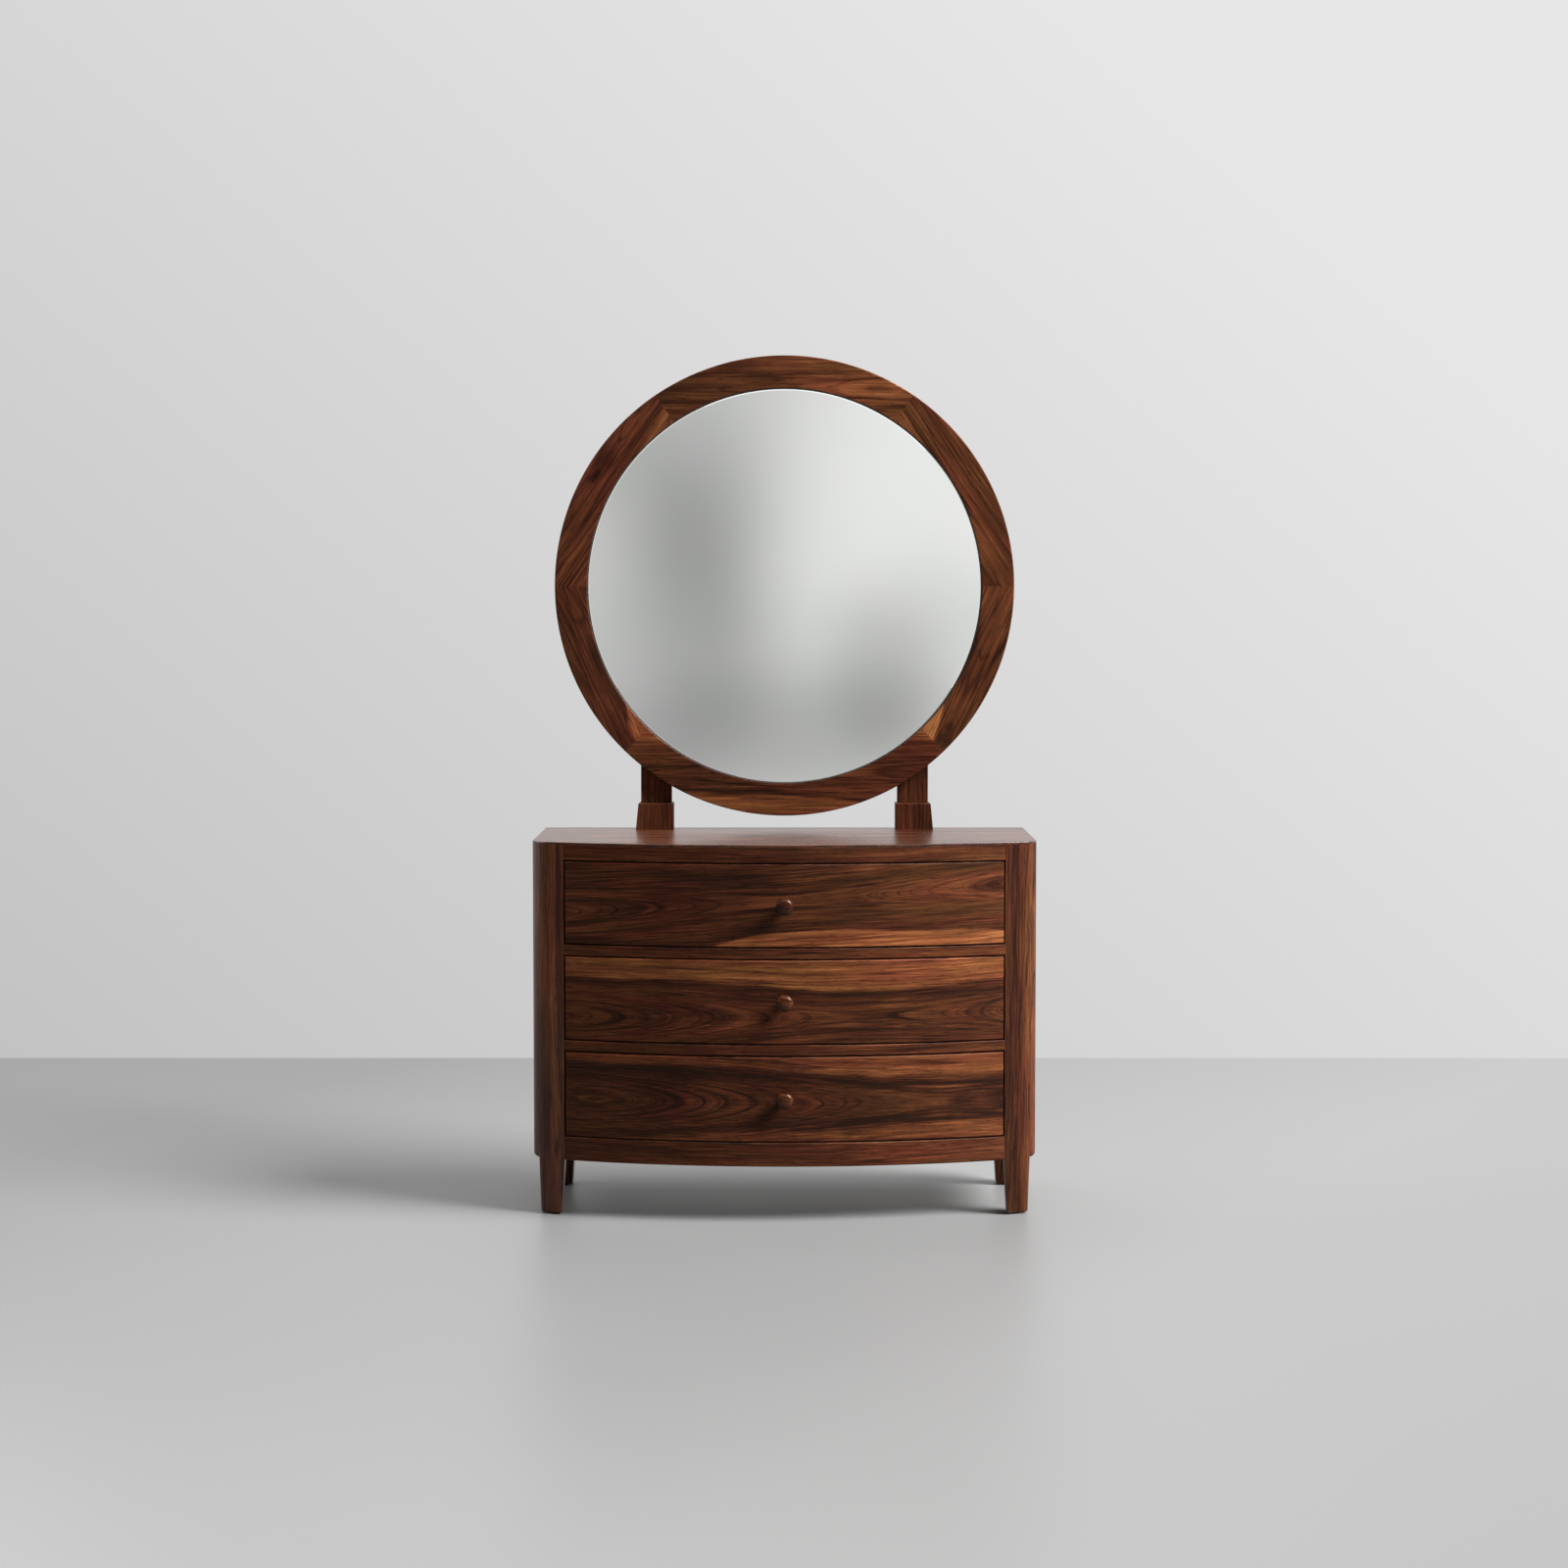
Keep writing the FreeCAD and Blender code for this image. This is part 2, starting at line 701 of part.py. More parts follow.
screw_x = (runner_inner + opening) / 2
top_screws = group("top_screws", [
    upward(screw("top_screw", TOP_SCREW), side * screw_x, depth, drawers_top + TOP_SCREW[1])
    for side in (-1, 1)
    for depth in TOP_SCREW_DEPTHS
])
upright_middle = D["upright_inner"] + D["upright_width"] / 2
upright_axis = upright_back - D["upright_depth"] / 2
post_screws = group("mirror_post_screws", [
    upward(screw("post_screw", POST_SCREW), side * (upright_middle + spread), upright_axis, core_bottom)
    for side in (-1, 1)
    for spread in (-POST_SCREW_SPREAD, POST_SCREW_SPREAD)
])
keep("top_panel", cut("top_panel", top_board, top_screws, post_screws))
keep("top_kickers", cut("top_kickers", kickers, top_screws))
keep("top_screws", top_screws)
keep("mirror_post_screws", post_screws)

# Nylon glides under the legs


def glide(x, y):
    disc = doc.addObject("Part::Cylinder", "glide")
    bind(disc, "Radius", D["glide_radius"])
    bind(disc, "Height", D["glide_height"])
    return place(disc, x=x, y=y)


foot_x = foot_inner + D["foot_width"] / 2
front_foot_y = foot_front + D["foot_width"] / 2
rear_foot_y = rear_foot_front + D["foot_width"] / 2
keep("foot_glides", group("foot_glides", [
    glide(side * foot_x, depth) for side in (-1, 1) for depth in (front_foot_y, rear_foot_y)
]))

# Drawers: a bowed front, two dovetailed sides, a back, a plywood bottom, a knob and its bolt

drawer_half = opening - D["drawer_gap"]
flat_x = drawer_half - D["front_flat"]
flat_y = bow_at(flat_x, D["front_thickness"])
side_inner = drawer_half - D["side_thickness"]
side_end = back - D["side_rear"]


def drawer_front_board(label, low, high):
    body = extrude(label, "XY", (
        (-drawer_half, bow_at(drawer_half, 0), bow_radius),
        (drawer_half, bow_at(drawer_half, 0)),
        (drawer_half, flat_y),
        (flat_x, flat_y, -(bow_radius - D["front_thickness"])),
        (-flat_x, flat_y),
        (-drawer_half, flat_y),
    ), low, high)
    face_back = bow_at(drawer_half, 0).number + 0.5
    ease(body, D["edge_round"], lambda edge: edge.BoundBox.YMax < face_back)
    return body


def drawer_side_board(label, low, high):
    """A side whose front end is cut into dovetails, widest at their tips."""
    tails_low = low + D["tail_lift"]
    pitch = (high - tails_low) / TAILS
    tip = flat_y - D["tail_length"]
    corners = [(side_end, low), (side_end, high), (flat_y, high)]
    for tail in reversed(range(TAILS)):
        middle = tails_low + pitch * (tail + 0.5)
        half_root = pitch * D["tail_share"]
        half_tip = half_root + D["tail_flare"]
        corners += [
            (flat_y, middle + half_root),
            (tip, middle + half_tip),
            (tip, middle - half_tip),
            (flat_y, middle - half_root),
        ]
    corners.append((flat_y, low))
    return extrude(label, "YZ", corners, side_inner, drawer_half)


def knob_profile():
    rim_end = D["knob_rim_at"] + D["knob_rim"]
    dome = D["knob_reach"] - rim_end
    dome_radius = (D["knob_radius"] * D["knob_radius"] + dome * dome) / (2 * dome)
    return (
        (0, 0),
        (0, -D["knob_reach"], dome_radius),
        (D["knob_radius"], -rim_end),
        (D["knob_radius"], -D["knob_rim_at"], D["knob_radius"] - D["knob_neck"] + 1),
        (D["knob_neck"], -D["knob_neck_at"], -2 * D["knob_foot"]),
        (D["knob_foot"], 0),
    )


def make_drawer(name, level):
    floor = sill(level)
    low = floor + D["drawer_gap"]
    high = floor + space(level) - D["drawer_gap"]
    side_low = floor + D["drawer_slip"]
    side_high = floor + space(level) - D["side_drop"]
    board_low = side_low + D["board_lift"]
    board_high = board_low + D["drawer_board"]
    board_half = side_inner + D["board_groove"]
    back_end = side_end - D["back_setback"]
    board_inset = D["front_thickness"] - D["board_groove"]

    bottom = extrude(f"{name}_drawer_bottom", "XY", (
        (-board_half, bow_at(board_half, board_inset), bow_radius - board_inset),
        (board_half, bow_at(board_half, board_inset)),
        (board_half, back_end),
        (-board_half, back_end),
    ), board_low, board_high)
    rear = block(
        f"{name}_drawer_back",
        (-board_half, board_half),
        (back_end - D["side_thickness"], back_end),
        (board_high, side_high - D["back_drop"]),
    )
    blank = drawer_side_board(f"{name}_side_blank", side_low, side_high)
    right = cut(f"{name}_drawer_side_right", blank, bottom, rear)
    left = mirrored(f"{name}_drawer_side_left", right)

    head = bow_front + D["front_thickness"]
    knob_z = (low + high) / 2
    shank = D["front_thickness"] + D["bolt_bite"]
    bolt = revolve(f"{name}_drawer_knob_bolt", (
        (0, -shank),
        (D["bolt_radius"], -shank),
        (D["bolt_radius"], 0),
        (D["bolt_head"], 0),
        (D["bolt_head"], D["bolt_head_height"]),
        (0, D["bolt_head_height"]),
    ))
    place(bolt, y=head, z=knob_z)
    turned = revolve(f"{name}_knob_blank", knob_profile())
    place(turned, y=bow_front, z=knob_z)
    face = drawer_front_board(f"{name}_front_blank", low, high)

    keep(f"{name}_drawer_front", cut(f"{name}_drawer_front", face, right, left, bottom, bolt))
    keep(f"{name}_drawer_side_right", right)
    keep(f"{name}_drawer_side_left", left)
    keep(f"{name}_drawer_back", rear)
    keep(f"{name}_drawer_bottom", bottom)
    keep(f"{name}_drawer_knob", cut(f"{name}_drawer_knob", turned, bolt))
    keep(f"{name}_drawer_knob_bolt", bolt)


for level, name in enumerate(DRAWERS):
    make_drawer(name, level)

# Mirror: a frame of six mitred segments, glass and back board in its rebate

frame_profile = (
    (D["sight_radius"], D["frame_lip"]),
    (D["sight_radius"], D["frame_round"], D["frame_round"]),
    (D["sight_radius"] + D["frame_round"], 0),
    (D["frame_radius"] - D["frame_round"], 0, D["frame_round"]),
    (D["frame_radius"], D["frame_round"]),
    (D["frame_radius"], D["frame_thickness"]),
    (D["sight_radius"] + D["rebate"], D["frame_thickness"]),
    (D["sight_radius"] + D["rebate"], D["frame_lip"]),
)
spline_low = (D["frame_thickness"] - D["spline_thickness"]) / 2
spline_outer = D["spline_radius"] + D["spline_width"]
spline_half = D["spline_length"] / 2


def spline(turn):
    body = extrude("spline", "XZ", (
        (D["spline_radius"], -spline_half),
        (spline_outer, -spline_half),
        (spline_outer, spline_half),
        (D["spline_radius"], spline_half),
    ), as_size(0), D["spline_thickness"])
    return turn_about_mirror(body, turn, frame_front + spline_low)


def clip(turn):
    clip_outer = D["clip_radius"] + D["clip_length"]
    clip_half = D["clip_width"] / 2
    body = extrude("clip", "XZ", (
        (D["clip_radius"], -clip_half),
        (clip_outer, -clip_half),
        (clip_outer, clip_half),
        (D["clip_radius"], clip_half),
    ), as_size(0), D["clip_thickness"])
    return turn_about_mirror(body, turn, frame_back)


def clip_screw(turn):
    x, z = polar(D["clip_screw_at"], turn)
    clip_back = frame_back + D["clip_thickness"]
    return place(screw("clip_screw", CLIP_SCREW), x=x, y=clip_back, z=D["mirror_height"] + z)


def frame_screw(distance, turn, side, above):
    x, z = polar(as_size(distance), turn)
    head = upright_back - FRAME_SCREW[1]
    return place(screw("frame_screw", FRAME_SCREW), x=side * x, y=head, z=D["mirror_height"] + above * z)


splines = group("mitre_splines", [spline(turn) for turn in MITRES])
clip_screws = group("mirror_clip_screws", [clip_screw(turn) for turn in CLIP_TURNS])
clips = group("clips", [clip(turn) for turn in CLIP_TURNS])
frame_screws = group("mirror_frame_screws", [
    frame_screw(distance, turn, side, above)
    for distance, turn in FRAME_SCREWS
    for side in (-1, 1)
    for above in (-1, 1)
])
for i, name in enumerate(SEGMENTS):
    start = MITRES[i]
    span = (MITRES[(i + 1) % len(MITRES)] - start) % FULL_TURN
    blank = turn_about_mirror(revolve(f"frame_{name}_blank", frame_profile, span), start, frame_front)
    label = f"mirror_frame_{name}"
    keep(label, cut(label, blank, splines, clip_screws, frame_screws))
keep("mitre_splines", splines)
keep("mirror_clips", cut("mirror_clips", clips, clip_screws))
keep("mirror_clip_screws", clip_screws)
keep("mirror_frame_screws", frame_screws)


def disc(label, radius, low, high):
    plate = revolve(label, ((0, 0), (radius, 0), (radius, high - low), (0, high - low)))
    return place(plate, y=low, z=D["mirror_height"])


glass_radius = D["sight_radius"] + D["glass_cover"]
glass_front = frame_front + D["frame_lip"]
keep("mirror_glass", disc("mirror_glass", glass_radius, glass_front, glass_front + D["glass"]))
keep("mirror_back_board", disc("mirror_back_board", glass_radius, glass_front + D["glass"], frame_back))

# Mirror posts, each in a shoe on the table top

upright_outer = D["upright_inner"] + D["upright_width"]
bevel = D["upright_round"]
upright_front = frame_back
upright = extrude("upright", "XY", (
    (D["upright_inner"] + bevel, upright_front),
    (upright_outer - bevel, upright_front, bevel),
    (upright_outer, upright_front + bevel),
    (upright_outer, upright_back - bevel, bevel),
    (upright_outer - bevel, upright_back),
    (D["upright_inner"] + bevel, upright_back, bevel),
    (D["upright_inner"], upright_back - bevel),
    (D["upright_inner"], upright_front + bevel, bevel),
), D["table_height"], D["upright_top"])
right_upright = cut("mirror_post_right", upright, frame_screws, post_screws)

shoe_rear = back - D["shoe_back"]
shoe_front = shoe_rear - D["shoe_depth"]
shoe_inner = D["upright_inner"] - D["shoe_inner"]
shoe_top = D["table_height"] + D["shoe_height"]
shoe_block = extrude("shoe_block", "XZ", (
    (shoe_inner, D["table_height"]),
    (upright_outer + D["shoe_outer"], D["table_height"]),
    (upright_outer + D["shoe_outer_top"], shoe_top),
    (shoe_inner, shoe_top),
), shoe_front, shoe_rear)
ease(shoe_block, D["shoe_round"], lambda edge: at_height(edge, shoe_top.number))
right_shoe = cut("mirror_shoe_right", shoe_block, upright)
keep("mirror_post_right", right_upright)
keep("mirror_post_left", mirrored("mirror_post_left", right_upright))
keep("mirror_shoe_right", right_shoe)
keep("mirror_shoe_left", mirrored("mirror_shoe_left", right_shoe))


def check_and_write():
    """Stops if anything failed, then writes each piece to its own file."""
    doc.recompute()
    failed = [item.Label for item in doc.Objects if {"Invalid", "Error"} & set(item.State)]
    failed += [n.Label for n in nodes if n.Shape.isNull() or not n.Shape.isValid() or not n.Shape.Solids]
    if failed:
        raise RuntimeError(f"these pieces failed: {sorted(set(failed))}")
    os.makedirs("parts", exist_ok=True)
    for node in nodes:
        node.Shape.exportStep(f"parts/{node.Label}.step")
        print(f"{node.Label}: {len(node.Shape.Solids)} solids, {node.Shape.Volume / 1000:.1f} cm3")
    print(f"{len(nodes)} pieces written")


check_and_write()
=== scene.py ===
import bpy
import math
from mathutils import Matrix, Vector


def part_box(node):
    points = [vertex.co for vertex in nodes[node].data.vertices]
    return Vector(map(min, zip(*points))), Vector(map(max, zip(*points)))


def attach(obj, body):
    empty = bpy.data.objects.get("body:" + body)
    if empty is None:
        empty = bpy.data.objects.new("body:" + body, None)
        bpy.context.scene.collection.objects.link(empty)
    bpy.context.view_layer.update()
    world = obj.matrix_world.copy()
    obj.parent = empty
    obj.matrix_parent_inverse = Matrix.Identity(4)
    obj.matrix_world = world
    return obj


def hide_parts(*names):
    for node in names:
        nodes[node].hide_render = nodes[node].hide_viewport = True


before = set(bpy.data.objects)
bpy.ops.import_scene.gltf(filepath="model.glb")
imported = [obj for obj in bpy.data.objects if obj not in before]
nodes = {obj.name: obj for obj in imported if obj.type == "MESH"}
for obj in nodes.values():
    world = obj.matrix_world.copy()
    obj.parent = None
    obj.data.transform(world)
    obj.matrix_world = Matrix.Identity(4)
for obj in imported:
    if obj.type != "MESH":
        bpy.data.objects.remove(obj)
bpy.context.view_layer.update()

# %% [markdown]
# A bow-fronted dressing table in dark rosewood: three drawers with turned knobs, and a
# round mirror carried by two posts. The solids are already made and stay as they are.
# This lesson gives them their finishes, models the pieces that need a finer shape than
# their solids have, and sets up a plain studio.

# %% [markdown]
# The camera stands 6.4 m in front of the table, level with the mirror just under its
# middle, and is tipped down by a little over three degrees, with a portrait lens. A shift
# lens could keep the uprights exactly parallel, but at so small a tilt they lean by less
# than a pixel, so a plain tilt is simpler.

# %% Camera
bpy.ops.object.select_all(action="DESELECT")
bpy.ops.object.camera_add(location=(-0.001, -6.4346, 1.2447),
                          rotation=(math.radians(86.6157), 0.0, 0.0))
camera = bpy.context.object
camera.name = "camera"
camera.data.sensor_width = 36.0
camera.data.lens = 72.03
bpy.context.scene.camera = camera
bpy.context.scene.view_settings.view_transform = "Standard"
print("camera", tuple(round(v, 3) for v in camera.location), camera.data.lens, "mm")

# %% [markdown]
# Every finish below is a tree of shader nodes, so four small helpers come first. The first
# turns a colour as a painter would name it, an sRGB hex code, into the linear numbers that
# the renderer works with. The second adds a node, sets its settings and joins its inputs:
# an input that is given a socket is linked, and one that is given a number is set. The
# others start an empty material and fill a colour ramp. Nodes could be placed by hand in
# the shader editor, but written down, one finish serves many boards.

# %% Helpers for materials
def linear(code):
    """An sRGB hex code such as #4c2617 as a linear colour with alpha."""
    parts = [int(code[i:i + 2], 16) / 255.0 for i in (1, 3, 5)]
    return tuple(p / 12.92 if p <= 0.04045 else ((p + 0.055) / 1.055) ** 2.4
                 for p in parts) + (1.0,)


def add(tree, kind, inputs=(), **settings):
    """Adds one node, with its settings, and sets or links its inputs."""
    node = tree.nodes.new("ShaderNode" + kind)
    for name, value in settings.items():
        setattr(node, name, value)
    for key, value in dict(inputs).items():
        if isinstance(value, bpy.types.NodeSocket):
            tree.links.new(value, node.inputs[key])
        else:
            node.inputs[key].default_value = value
    return node


def new_material(name):
    """An empty node material and the tree to fill."""
    material = bpy.data.materials.new(name)
    material.use_nodes = True
    material.node_tree.nodes.clear()
    return material, material.node_tree


def set_ramp(ramp, stops):
    """Gives a colour ramp its (position, hex code) stops."""
    while len(ramp.elements) < len(stops):
        ramp.elements.new(0.5)
    for element, (position, code) in zip(ramp.elements, stops):
        element.position = position
        element.color = linear(code)


print("orange heartwood streak in linear light:", linear("#94582c"))

# %% [markdown]
# The floor of the studio is a painted grey concrete slab that ends at the foot of a paler
# wall, 2 m behind the table. A wall of its own would hide the table in views from behind,
# so the slab simply stops there and the room's own pale colour is the wall. A slight sheen
# gives the legs their faint reflection. The paint is rolled in clouds about a metre wide,
# and painted light makes it a little paler to the right and to the front, painted shade a
# little darker to the left and towards the wall. A diffuse ray, which carries light from
# the slab up to the table, meets a darker grey, because so wide a slab would otherwise
# light the table from below more than a real room's floor does.

# %% Floor
WALL_LINE = 2.02                  # m behind the middle of the table
FLOOR_SIDE = 14.0                 # m
PAINTED_LIGHT_SLOPE = (0.5, -0.25, 0.0)         # the way in which painted light makes the paint paler, per metre
DARKEST, PALEST = -1.0, 0.6       # how far that goes, counted from under the table
bpy.ops.object.select_all(action="DESELECT")
bpy.ops.mesh.primitive_plane_add(size=FLOOR_SIDE,
                                 location=(0.0, WALL_LINE - FLOOR_SIDE / 2, 0.0))
floor = bpy.context.object
floor.name = "studio_floor"
floor_paint, tree = new_material("painted_concrete_floor")
place = add(tree, "TexCoord").outputs["Object"]
clouds = add(tree, "TexNoise", {"Vector": place, "Scale": 0.9, "Detail": 3.0})
under_table = PAINTED_LIGHT_SLOPE[1] * (FLOOR_SIDE / 2 - WALL_LINE)
# Painted light and shade on the grey: paler to the right and to the front, darker to the left and
# towards the wall.
slope = add(tree, "VectorMath", {0: place, 1: PAINTED_LIGHT_SLOPE}, operation="DOT_PRODUCT")
slope = add(tree, "MapRange", {"Value": slope.outputs["Value"],
                               "From Min": under_table + DARKEST,
                               "From Max": under_table + PALEST})
shade = add(tree, "Math", {0: clouds.outputs["Fac"], 1: 0.12, 2: slope.outputs["Result"]},
            operation="MULTIPLY_ADD")
grey = add(tree, "ValToRGB", {0: shade.outputs[0]})
set_ramp(grey.color_ramp, ((0.06, "#6c6c6c"), (1.0, "#919191")))
ray = add(tree, "LightPath")
paint = add(tree, "Mix", {0: ray.outputs["Is Diffuse Ray"], 6: grey.outputs["Color"],
                          7: linear("#5a5a5a")}, data_type="RGBA")
worn = add(tree, "MapRange", {"Value": clouds.outputs["Fac"], "To Min": 0.36, "To Max": 0.46})
slab = add(tree, "BsdfPrincipled", {"Base Color": paint.outputs[2],
                                    "Roughness": worn.outputs["Result"],
                                    "Specular IOR Level": 0.35})
add(tree, "OutputMaterial", {"Surface": slab.outputs[0]})
floor.data.materials.append(floor_paint)
print("floor laid, wall line at y =", WALL_LINE)

# %% [markdown]
# Plain soft studio light. A window wall on the right and a little in front leaves the left
# half of the bow in shade. Area lamps could stand for it, but a near lamp lights the near
# side of the floor more, and the floor here is even, so the window is a sun lamp with a
# wide disc: light from one side, with no falloff and with soft shadows. Three weak area
# lamps help it. The front one keeps the shaded side readable, the back one lights the
# floor in front of the wall, and the small one on the left lifts the shadow there.

# %% Lamps
# Lamp, side of its square in m, power in W, its place and the point it looks at.
AREA_LAMPS = (("front_lamp", 3.0, 8.0, (0.8, -5.0, 3.6), (0.0, 0.0, 0.7)),
              ("back_lamp", 3.0, 60.0, (-0.2, 2.4, 3.8), (-0.2, 0.9, 0.0)),
              ("left_lamp", 1.0, 14.0, (-1.9, 0.25, 1.6), (-0.85, -0.3, 0.0)))


def aim(lamp, place, at):
    """Turns a lamp at a place so that it looks at a point."""
    look = [a - p for a, p in zip(at, place)]
    flat = math.hypot(look[0], look[1])
    lamp.location = place
    lamp.rotation_euler = (math.atan2(flat, -look[2]), 0.0,
                           math.atan2(look[1], look[0]) - math.pi / 2)


bpy.ops.object.select_all(action="DESELECT")
bpy.ops.object.light_add(type="SUN")
window = bpy.context.object
window.name = "window_light"
window.data.angle = math.radians(30.0)
window.data.energy = 7.8    # W per square metre
aim(window, (7.2, -2.4, 6.8), (0.0, 0.0, 0.0))
for name, square, power, place, at in AREA_LAMPS:
    bpy.ops.object.light_add(type="AREA")
    lamp = bpy.context.object
    lamp.name = name
    lamp.data.size = square
    lamp.data.energy = power
    aim(lamp, place, at)

# %% [markdown]
# The room is the world colour, worked out from the direction that a ray travels in. A
# backdrop of real walls could do it, but would be in the way of views from other sides.
# The camera sees a pale wall, a little brighter to the right and upwards. Glossy wood sees
# the same wall behind the table and at its sides, and a dimmer room in front of it. That
# difference gives the left post its grey sheen and keeps the fronts deep.

# %% Room: the wall
WALL, TO_RIGHT, UPWARDS = 0.692, 0.36, 0.418    # brightness straight ahead, and its rise
WALL_LEAST, WALL_MOST = 0.545, 0.8
IN_FRONT = 0.08      # how much of the wall's brightness is left in front of the table
LEFT_SHEEN = 0.5     # what a bright wall at the far left adds
world = bpy.data.worlds.new("pale_room")
world.use_nodes = True
bpy.context.scene.world = world
tree = world.node_tree
tree.nodes.clear()
way = add(tree, "TexCoord").outputs["Generated"]
side = add(tree, "SeparateXYZ", {0: way})
wall = add(tree, "Math", {0: side.outputs["X"], 1: TO_RIGHT, 2: WALL}, operation="MULTIPLY_ADD")
wall = add(tree, "Math", {0: side.outputs["Z"], 1: UPWARDS, 2: wall.outputs[0]},
           operation="MULTIPLY_ADD")
wall = add(tree, "Clamp", {"Value": wall.outputs[0], "Min": WALL_LEAST,
                           "Max": WALL_MOST}).outputs[0]
dim = add(tree, "MapRange", {"Value": side.outputs["Y"], "From Min": 0.0, "From Max": -0.5,
                             "To Min": 1.0, "To Max": IN_FRONT})
dim = add(tree, "Math", {0: wall, 1: dim.outputs["Result"]}, operation="MULTIPLY")
pale_side = add(tree, "MapRange", {"Value": side.outputs["X"], "From Min": -0.70,
                                   "From Max": -0.95, "To Max": LEFT_SHEEN})
dim = add(tree, "Math", {0: dim.outputs[0], 1: pale_side.outputs["Result"]}).outputs[0]
print("wall made,", len(tree.nodes), "nodes")

# %% [markdown]
# The looking-glass shows a piece of the room only seven degrees wide, so its soft shapes
# could never be lit by lamps alone. They are drawn on the room as a few blurred ovals, and
# a perfectly sharp reflection, which only the glass gives, is the one that sees them.

# %% Room: what the looking-glass shows
VIEW, VIEW_RIGHT, VIEW_UP = 0.625, 3.6, 0.53    # brightness straight ahead, and its rise
VIEW_FADES = (0.16, 0.09)    # sines of the angles between which it takes the wall's place
# Each oval: place across and up, half width and height, slant, and change of brightness.
OVALS = ((-0.031, -0.005, 0.047, 0.102, 0.12, -0.217),
         (0.015, 0.017, 0.049, 0.127, 0.32, 0.095),
         (0.048, -0.021, 0.112, 0.054, 0.60, -0.138),
         (0.033, -0.026, 0.031, 0.048, -0.09, -0.113),
         (0.009, -0.044, 0.093, 0.035, -0.06, -0.154),
         (-0.060, -0.009, 0.058, 0.093, -0.32, 0.211))
view = add(tree, "Math", {0: side.outputs["X"], 1: VIEW_RIGHT, 2: VIEW},
           operation="MULTIPLY_ADD")
view = add(tree, "Math", {0: side.outputs["Z"], 1: VIEW_UP, 2: view.outputs[0]},
           operation="MULTIPLY_ADD").outputs[0]
for across, up, wide, tall, slant, change in OVALS:
    x = add(tree, "Math", {0: side.outputs["X"], 1: across}, operation="SUBTRACT")
    z = add(tree, "Math", {0: side.outputs["Z"], 1: up}, operation="SUBTRACT")
    x = add(tree, "Math", {0: z.outputs[0], 1: -slant, 2: x.outputs[0]},
            operation="MULTIPLY_ADD")
    off = add(tree, "CombineXYZ", {0: x.outputs[0], 2: z.outputs[0]})
    off = add(tree, "VectorMath", {0: off.outputs[0], 1: (1 / wide, 0.0, 1 / tall)},
              operation="MULTIPLY")
    off = add(tree, "VectorMath", {0: off.outputs[0]}, operation="LENGTH")
    spot = add(tree, "MapRange", {"Value": off.outputs["Value"], "To Min": change,
                                  "To Max": 0.0}, interpolation_type="SMOOTHERSTEP")
    view = add(tree, "Math", {0: view, 1: spot.outputs["Result"]}).outputs[0]
flat = add(tree, "VectorMath", {0: way, 1: (1.0, 0.0, 1.0)}, operation="MULTIPLY")
flat = add(tree, "VectorMath", {0: flat.outputs[0]}, operation="LENGTH")
drawn = add(tree, "MapRange", {"Value": flat.outputs["Value"], "From Min": VIEW_FADES[0],
                               "From Max": VIEW_FADES[1]})
ahead = add(tree, "Math", {0: side.outputs["Y"], 1: 0.0}, operation="LESS_THAN")
drawn = add(tree, "Math", {0: drawn.outputs["Result"], 1: ahead.outputs[0]},
            operation="MULTIPLY")
view = add(tree, "Mix", {0: drawn.outputs[0], 2: wall, 3: view}, data_type="FLOAT").outputs[0]
print("drawn for the glass:", len(OVALS), "soft ovals")

# %% [markdown]
# Now the room is put together. Light Path tells what kind of ray arrives: a camera ray sees
# the wall, a glossy ray the dimmer room, a sharp reflection the drawn view, and a diffuse
# ray, which lights the table, gets an even grey-white. One colour for all of them would be
# simpler, but then a wall as pale as this one would wash out the wood.

# %% Room: put together
ray = add(tree, "LightPath")
gloss = add(tree, "Mix", {0: ray.outputs["Is Singular Ray"], 2: dim, 3: view},
            data_type="FLOAT")
seen = add(tree, "Mix", {0: ray.outputs["Is Glossy Ray"], 2: wall, 3: gloss.outputs[0]},
           data_type="FLOAT")
seen = add(tree, "Background", {"Color": linear("#fefefe"), "Strength": seen.outputs[0]})
room = add(tree, "Background", {"Color": linear("#eef0f2"), "Strength": 0.06})
shown = add(tree, "Math", {0: ray.outputs["Is Camera Ray"], 1: ray.outputs["Is Glossy Ray"]},
            operation="MAXIMUM")
shown = add(tree, "Math", {0: shown.outputs[0], 1: ray.outputs["Is Transmission Ray"]},
            operation="MAXIMUM")
both = add(tree, "MixShader", {0: shown.outputs[0], 1: room.outputs[0], 2: seen.outputs[0]})
add(tree, "OutputWorld", {"Surface": both.outputs[0]})
print("room made,", len(tree.nodes), "nodes")

# %% [markdown]
# Rosewood's look comes from growth rings: a board is a slice of a log, so its figure is
# the set of points at equal distance from the pith, the log's middle line. Painting
# stripes on each face would break at the edges. Here each board is given a log of its own,
# a place and a direction for the pith, and everything is worked out from the distance to
# it, so the figure runs round the edges as in real wood. A bowed board is bent, so its
# fibres follow the bow. Its pith follows half of that, close behind the face, and so the
# rings come to the face as nested arcs and ovals.

# %% The log and its rings
WANDER = 0.09        # how much the distance to the pith varies
BOW = 0.38           # the drawers' curve: this many metres back, one metre from the middle
OVAL = 1.35          # a log grows oval: across a bowed board its rings lie this much closer
LOGS_APART = 13.0    # each log has its own part of the noise, by the height of its pith


def stretched(tree, field, per_metre, detail=2.0):
    """A cloudy pattern around zero, with so many patches a metre each way along a field."""
    field = add(tree, "VectorMath", {0: field, 1: per_metre}, operation="MULTIPLY")
    cloud = add(tree, "TexNoise", {"Vector": field.outputs[0], "Scale": 1.0, "Detail": detail,
                                   "Roughness": 0.6})
    return add(tree, "Math", {0: cloud.outputs["Fac"], 1: 0.5}, operation="SUBTRACT").outputs[0]


